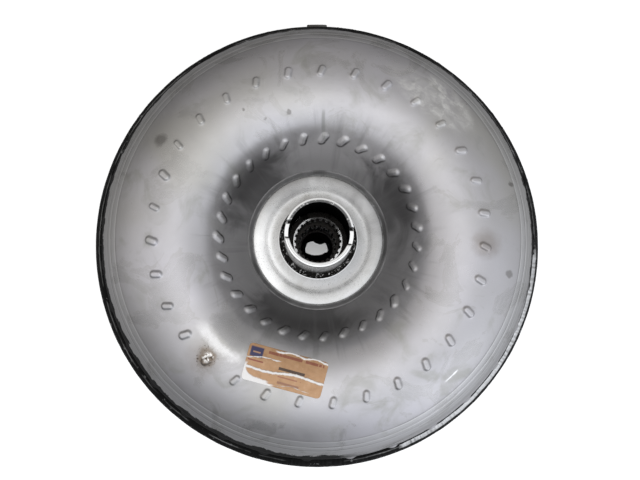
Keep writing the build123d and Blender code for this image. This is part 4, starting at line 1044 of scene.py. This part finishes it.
def build_hub_weld():
    n = 900
    th = np.linspace(0, 2 * PI, n, endpoint=False)
    sec = [(43.9, 82.9), (44.4, 83.95), (45.0, 84.5), (45.8, 85.0), (46.6, 85.55), (47.4, 86.1), (48.2, 86.0), (46.5, 83.0)]
    rip = ring_noise(th, 15, 120, 190, 0.2)
    lump = ring_noise(th, 16, 10, 50, 0.5)
    verts = []
    for i, (r, z) in enumerate(sec):
        f = math.sin(PI * min(max(i / 6.0, 0), 1))
        d = np.clip(f * (0.03 * rip + 0.07 * lump), -0.2, 0.25)
        verts.append(np.c_[(r + 0.4 * d * (i - 3) / 3) * np.cos(th), (r + 0.4 * d * (i - 3) / 3) * np.sin(th), z + d] * MM)
    ob = make_mesh("hub_bead", np.vstack(verts), grid_faces(len(sec), n, True, True))
    recalc(ob)
    return ob


hub_bead = build_hub_weld()
assign(hub_bead, weld_material("hub_weld_look", False))
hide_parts("hub_weld")


# foil label on the crest
def build_label():
    cx, cy, rot = -22.5, -89.9, math.radians(-15)
    W, H, R = 54.0, 25.0, 2.6
    nu, nv = 150, 72
    us = np.linspace(-1, 1, nu)
    vs = np.linspace(-H / 2, H / 2, nv)
    s_out = arc_at_r(OUTER["r"])
    s_in = arc_at_r(INNER["r"])
    verts, uvs = [], []
    for v in vs:
        inset = 0.0
        e = abs(v) - (H / 2 - R)
        if e > 0:
            inset = R - math.sqrt(max(R * R - e * e, 0))
        for q in us:
            u = q * (W / 2 - inset)
            x = cx + u * math.cos(rot) - v * math.sin(rot)
            y = cy + u * math.sin(rot) + v * math.cos(rot)
            verts.append((x, y))
            uvs.append((u, v))
    P = np.array(verts)
    U = np.array(uvs)
    r = np.hypot(P[:, 0], P[:, 1])
    th = np.arctan2(P[:, 1], P[:, 0])
    s = np.interp(r, CURVE[:2990, 0], ARC[:2990])
    lift = np.zeros(len(r))
    for a in range(-3, 4):
        for b in range(-3, 4):
            lift += capsules(s + a * 0.8, th + b * 0.8 / r, OUTER, s_out)[0]
    lift /= 49
    lift = np.maximum(lift * 1.15, capsules(s, th, OUTER, s_out)[0] + 0.02)
    u, v = U[:, 0], U[:, 1]
    wr = 0.16 * np.exp(-(((v - (-2.7 + 0.035 * u + 0.9 * np.sin(0.16 * u + 0.4))) / 0.9) ** 2))
    wr += 0.12 * np.exp(-(((v - (11.6 + 0.7 * np.sin(0.38 * u + 0.8))) / 0.8) ** 2)) * (u > -10)
    wr += 0.05 * (np.sin(0.7 * u + 0.5 * v) * np.sin(0.23 * u - 0.9 * v) + 1)
    # lower left corner lifts off a little
    corner = np.clip(1 - np.hypot(u + W / 2, v + H / 2) / 13.0, 0, 1)
    wr += 0.9 * corner**2
    z = shell_z(r) + 0.12 + lift + wr
    slope = np.interp(r, CURVE[:2990, 0], np.gradient(CURVE[:2990, 1], CURVE[:2990, 0]))
    topv = np.c_[P, z] * MM
    botv = np.c_[P, z - 0.10] * MM
    n = len(topv)
    f = grid_faces(nv, nu, False)
    faces = list(f) + [tuple(i + n for i in q[::-1]) for q in f]
    ring = [j for j in range(nu)] + [i * nu + nu - 1 for i in range(1, nv)] + [(nv - 1) * nu + j for j in range(nu - 2, -1, -1)] + [i * nu for i in range(nv - 2, 0, -1)]
    for a, b in zip(ring, ring[1:] + ring[:1]):
        faces.append((a, b, b + n, a + n))
    uv2 = np.vstack([U, U])
    ob = make_mesh("label_foil", np.vstack([topv, botv]), faces, uv=uv2)
    recalc(ob)
    return ob


label = build_label()
assign(label, foil_material())
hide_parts("id_label")


# balance weight: small plate tack-welded on the rim
def build_weight():
    lo_, hi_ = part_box("balance_weight")
    w0, w1 = math.radians(87.4), math.radians(92.6)
    n = 24
    sec = [(RIM_R - 0.6, 31.0), (RIM_R + 1.7, 31.0), (RIM_R + 2.2, 31.5), (RIM_R + 2.2, 44.5), (RIM_R + 1.7, 45.0), (RIM_R - 0.6, 45.0)]
    verts, faces = [], []
    for (r, z) in sec:
        for j in range(n):
            t = j / (n - 1)
            a = w0 + (w1 - w0) * t
            e = min(t, 1 - t) * (n - 1)
            rr = r - (0.5 if (e < 0.5 and r > RIM_R) else 0.0)
            verts.append((rr * math.cos(a) * MM, rr * math.sin(a) * MM, z * MM))
    m = len(sec)
    for i in range(m):
        k = (i + 1) % m
        for j in range(n - 1):
            faces.append((i * n + j, i * n + j + 1, k * n + j + 1, k * n + j))
    faces.append(tuple(i * n for i in range(m)))
    faces.append(tuple(i * n + n - 1 for i in range(m))[::-1])
    ob = make_mesh("rim_weight", verts, faces)
    recalc(ob)
    sharpen(ob, 30)
    return ob


weight = build_weight()
assign(weight, plain_steel("weight_steel_look", (0.13, 0.128, 0.12), 0.45, var=0.5, tint=(0.045, 0.042, 0.036)))
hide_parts("balance_weight")


# crankshaft pilot: turned, with a centre drilling outside and a dished face inside
def build_pilot():
    prof = [
        (0, 5.5), (8, 5.5), (12, 8), (29.95, 8), (29.95, 4), (26, 4), (23, 2.5),
        (23, PILOT_Z + 1.2), (21.8, PILOT_Z), (9, PILOT_Z), (7, PILOT_Z + 3), (2.4, PILOT_Z + 3), (0, PILOT_Z + 4.4),
    ]
    prof = rounded(prof, {2: 1.5, 5: 1.0, 6: 1.0, 7: 0.5, 8: 0.5, 9: 0.5}, 3)
    return lathe("pilot_boss", prof, n=160, closed=False, sharp=30)


pilot = build_pilot()
assign(pilot, pilot_material())
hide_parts("crank_pilot")


# drive lugs with tapped holes, and the fillet weld around each foot
def rr_point(phi, hx, hy, rad):
    """Point at polar angle phi on a rounded rectangle of half sizes hx, hy."""
    c, s = math.cos(phi), math.sin(phi)
    t = 1e9
    if abs(c) > 1e-9:
        t = min(t, hx / abs(c))
    if abs(s) > 1e-9:
        t = min(t, hy / abs(s))
    x, y = c * t, s * t
    kx, ky = hx - rad, hy - rad
    if abs(x) > kx and abs(y) > ky:
        # on the corner circle
        ox, oy = math.copysign(kx, x), math.copysign(ky, y)
        b = -(c * ox + s * oy)
        q = b * b - (ox * ox + oy * oy - rad * rad)
        t = -b + math.sqrt(max(q, 0))
        x, y = c * t, s * t
    return x, y


def build_lugs():
    verts, faces = [], []
    wv, wf = [], []
    n = 96
    ph = [2 * PI * j / n for j in range(n)]
    H = FACE_Z
    rng = np.random.default_rng(3)
    for q in range(4):
        a = math.radians(45 + 90 * q)
        ca, sa = math.cos(a), math.sin(a)

        def put(x, y, z, out):
            X = 127.0 + x
            out.append(((X * ca - y * sa) * MM, (X * sa + y * ca) * MM, z * MM))

        loops = [("c", 4.25, H)]
        z = H - 0.6
        while z > 1.6:
            loops += [("c", 4.27, z), ("c", 4.85, z - 0.55)]
            z -= 1.25
        loops += [("c", 4.3, 0.9), ("c", 5.2, 0.0), ("r", -1.0, 0.0), ("r", -0.35, 0.18), ("r", 0.0, 0.9), ("r", 0.0, H)]
        base = len(verts)
        for kind, v, z in loops:
            for p in ph:
                if kind == "c":
                    put(v * math.cos(p), v * math.sin(p), z, verts)
                else:
                    x, y = rr_point(p, 11 + v, 15 + v, 4 + v)
                    put(x, y, z, verts)
        m = len(loops)
        for i in range(m):
            k = (i + 1) % m
            for j in range(n):
                l = (j + 1) % n
                faces.append((base + i * n + j, base + i * n + l, base + k * n + l, base + k * n + j))
        wl = [(-0.3, H - 2.5), (0.5, H - 2.3), (1.3, H - 1.6), (2.0, H - 0.9), (2.4, H - 0.1), (2.2, H + 0.4), (-0.3, H + 0.4)]
        base = len(wv)
        rip = ring_noise(np.array(ph), 60 + q, 20, 40, 0.2)
        for i, (o, z) in enumerate(wl):
            f = 0.22 if 0 < i < 4 else 0.0
            for j, p in enumerate(ph):
                x, y = rr_point(p, 11 + o + f * rip[j] * 0.5, 15 + o + f * rip[j] * 0.5, 4 + o)
                put(x, y, z - f * rip[j], wv)
        m = len(wl)
        for i in range(m):
            k = (i + 1) % m
            for j in range(n):
                l = (j + 1) % n
                wf.append((base + i * n + j, base + i * n + l, base + k * n + l, base + k * n + j))
    lugs = make_mesh("lug_blocks", verts, faces)
    recalc(lugs)
    sharpen(lugs, 30)
    beads = make_mesh("lug_beads", wv, wf)
    recalc(beads)
    return lugs, beads


lugs, lug_beads = build_lugs()
assign(lugs, plain_steel("lug_steel_look", (0.52, 0.52, 0.525), 0.34, grain=500, tint=(0.36, 0.34, 0.32)))
assign(lug_beads, weld_material("lug_weld_look", False))
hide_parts("drive_lugs")
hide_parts("lug_welds")

# ------------------------------------------------------------------ carried-over pieces inside
OILY_SHADED = oily_shaded_steel("oily_shaded_turned_steel", (0.030, 0.028, 0.026))
# the inner race painted near black all over as shade, but for its painted ring highlight
RACE_IN = oily_shaded_steel("inner_race_steel", (0.012, 0.011, 0.010), (0.0154, 0.0168, 0.0727))
RACE = oily_shaded_steel("ground_race_steel", (0.24, 0.24, 0.245))
BLADE = plain_steel("blade_steel_look", (0.46, 0.455, 0.45), 0.36, grain=260, tint=(0.34, 0.30, 0.26))
PRESSED = shell_material(False)
SPRING = plain_steel("spring_steel_look", (0.27, 0.27, 0.29), 0.30, grain=700, tint=(0.20, 0.17, 0.22))
CAST = plain_steel("cast_aluminium_look", (0.62, 0.62, 0.63), 0.46, grain=900, var=0.15, bump=0.9)
BRASS = plain_steel("brass_cage_look", (0.62, 0.45, 0.20), 0.30, grain=500, tint=(0.42, 0.28, 0.12))
PAPER = plain_steel("friction_paper_look", (0.20, 0.135, 0.09), 0.85, grain=1400, bump=1.6, metallic=0.0, tint=(0.12, 0.08, 0.06))
RESIN = plain_steel("washer_resin_look", (0.23, 0.15, 0.09), 0.48, grain=900, bump=0.5, metallic=0.0, tint=(0.16, 0.11, 0.07))
SEAL = plain_steel("seal_resin_look", (0.05, 0.05, 0.05), 0.42, grain=900, bump=0.4, metallic=0.0)
for names, mat in (
    (("turbine_hub",), OILY_SHADED),
    (("clutch_inner_race",), RACE_IN),
    (("turbine_bearing_race_lower", "turbine_bearing_race_upper", "pump_bearing_race_lower", "pump_bearing_race_upper",
      "turbine_bearing_needles", "pump_bearing_needles", "clutch_rollers", "clutch_outer_race", "turbine_rivets"), RACE),
    (("impeller_blades", "impeller_core", "turbine_blades", "turbine_core", "drive_tabs", "spring_carrier"), BLADE),
    (("turbine_shell", "lockup_piston"), PRESSED),
    (("damper_springs", "clutch_springs", "clutch_snap_ring"), SPRING),
    (("stator_wheel", "clutch_cap_lower", "clutch_cap_upper"), CAST),
    (("turbine_bearing_cage", "pump_bearing_cage"), BRASS),
    (("friction_lining",), PAPER),
    (("cover_thrust_washer",), RESIN),
    (("piston_seal_ring",), SEAL),
):
    for nm in names:
        paint_node(nm, mat)

# ------------------------------------------------------------------ floor
fz = (PILOT_Z - 0.05) * MM
fl = bpy.data.meshes.new("floor")
fl.from_pydata([(-4, -4, fz), (4, -4, fz), (4, 4, fz), (-4, 4, fz)], [], [(0, 1, 2, 3)])
floor = bpy.data.objects.new("floor", fl)
bpy.context.scene.collection.objects.link(floor)
fm = Nodes("floor_paint")
fcol = fm.ramp(fm.noise(1.2, 2, 0.5), [(0.3, (0.86, 0.86, 0.86)), (0.7, (0.90, 0.90, 0.90))])
lp = fm.node("ShaderNodeLightPath").outputs["Is Camera Ray"]
fm.done(fcol, 0.8, 0.0, None)
fm.put(fm.bsdf.inputs["Emission Color"], (1.0, 1.0, 1.0))
fm.put(fm.bsdf.inputs["Emission Strength"], fm.mul(lp, 0.55))
assign(floor, fm.mat)
floor.visible_glossy = False

# ------------------------------------------------------------------ light
# A soft studio dome made of broad lobes: (angle from straight up, azimuth, brightness).
LOBES = [
    (0, 0, 0.418),
    (25, 0, 0.309),
    (25, 90, 0.171),
    (25, 180, 0.373),
    (25, 270, 0.539),
    (50, 0, 0.275),
    (50, 60, 0.132),
    (50, 120, 0.169),
    (50, 180, 0.312),
    (50, 240, 0.415),
    (50, 300, 0.469),
    (75, 0, 0.251),
    (75, 45, 0.183),
    (75, 90, 0.171),
    (75, 135, 0.106),
    (75, 180, 0.315),
    (75, 225, 0.170),
    (75, 270, 0.109),
    (75, 315, 0.657),
    (100, 0, 0.258),
    (100, 45, 0.164),
    (100, 90, 0.037),
    (100, 135, 0.000),
    (100, 180, 0.116),
    (100, 225, 0.000),
    (100, 270, 0.000),
    (100, 315, 0.639),
    (130, 0, 0.208),
    (130, 60, 0.000),
    (130, 120, 0.000),
    (130, 180, 0.110),
    (130, 240, 0.056),
    (130, 300, 0.277),
]
WIDTH = 9.0
BASE_LIGHT = 0.167
world = bpy.data.worlds.new("studio")
bpy.context.scene.world = world
world.use_nodes = True
wn = world.node_tree
wn.nodes.clear()
out = wn.nodes.new("ShaderNodeOutputWorld")
bg = wn.nodes.new("ShaderNodeBackground")
tc = wn.nodes.new("ShaderNodeTexCoord")


def wnode(op, a, b, kind="ShaderNodeMath"):
    n = wn.nodes.new(kind)
    n.operation = op
    for sock, v in zip(n.inputs, (a, b)):
        if isinstance(v, bpy.types.NodeSocket):
            wn.links.new(v, sock)
        else:
            sock.default_value = v
    return n


total = BASE_LIGHT
LOBE_SOCKETS = []
for zeta, azim, power in LOBES:
    zr, ar = math.radians(zeta), math.radians(azim)
    c = (math.sin(zr) * math.cos(ar), math.sin(zr) * math.sin(ar), math.cos(zr))
    dot = wnode("DOT_PRODUCT", tc.outputs["Generated"], c, "ShaderNodeVectorMath").outputs["Value"]
    lobe = wnode("EXPONENT", wnode("MULTIPLY", wnode("SUBTRACT", dot, 1.0).outputs[0], WIDTH).outputs[0], 0.0).outputs[0]
    scaled = wnode("MULTIPLY", lobe, float(power))
    LOBE_SOCKETS.append(scaled.inputs[1])
    total = wnode("ADD", scaled.outputs[0], total).outputs[0]
# slightly cooler towards the lower right, warmer above
cool = wnode("DOT_PRODUCT", tc.outputs["Generated"], (0.57, -0.82, 0.0), "ShaderNodeVectorMath").outputs["Value"]
cm = wn.nodes.new("ShaderNodeMix")
cm.data_type = "RGBA"
mr = wn.nodes.new("ShaderNodeMapRange")
wn.links.new(cool, mr.inputs[0])
mr.inputs[1].default_value = -0.8
mr.inputs[2].default_value = 0.8
wn.links.new(mr.outputs[0], cm.inputs["Factor"])
cm.inputs[6].default_value = (1.02, 1.0, 0.975, 1)
cm.inputs[7].default_value = (0.97, 1.0, 1.045, 1)
wn.links.new(cm.outputs[2], bg.inputs["Color"])
wn.links.new(total, bg.inputs["Strength"])
wn.links.new(bg.outputs[0], out.inputs[0])

# ------------------------------------------------------------------ camera
cam = bpy.data.cameras.new("camera")
camo = bpy.data.objects.new("camera", cam)
bpy.context.scene.collection.objects.link(camo)
bpy.context.scene.camera = camo
D = 1.40
cam.sensor_width = 36.0
cam.lens = 1.426 * (D / MM) * 36.0 / 640.0
cam.clip_start = 0.05
cam.clip_end = 20
from mathutils import Vector

view_dir = Vector((-0.0157, -0.0906, 0.9957)).normalized()
aim = Vector((0.0019, 0.0033, 0.048))
camo.location = aim + view_dir * D
zc = view_dir
xc = Vector((1, 0, 0))
xc = (xc - zc * xc.dot(zc)).normalized()
yc = zc.cross(xc)
from mathutils import Matrix

rot = Matrix((xc, yc, zc)).transposed()
camo.rotation_euler = rot.to_euler()

sc = bpy.context.scene
sc.view_settings.view_transform = "Standard"
sc.view_settings.look = "None"
sc.view_settings.exposure = 0.0
sc.view_settings.gamma = 1.0
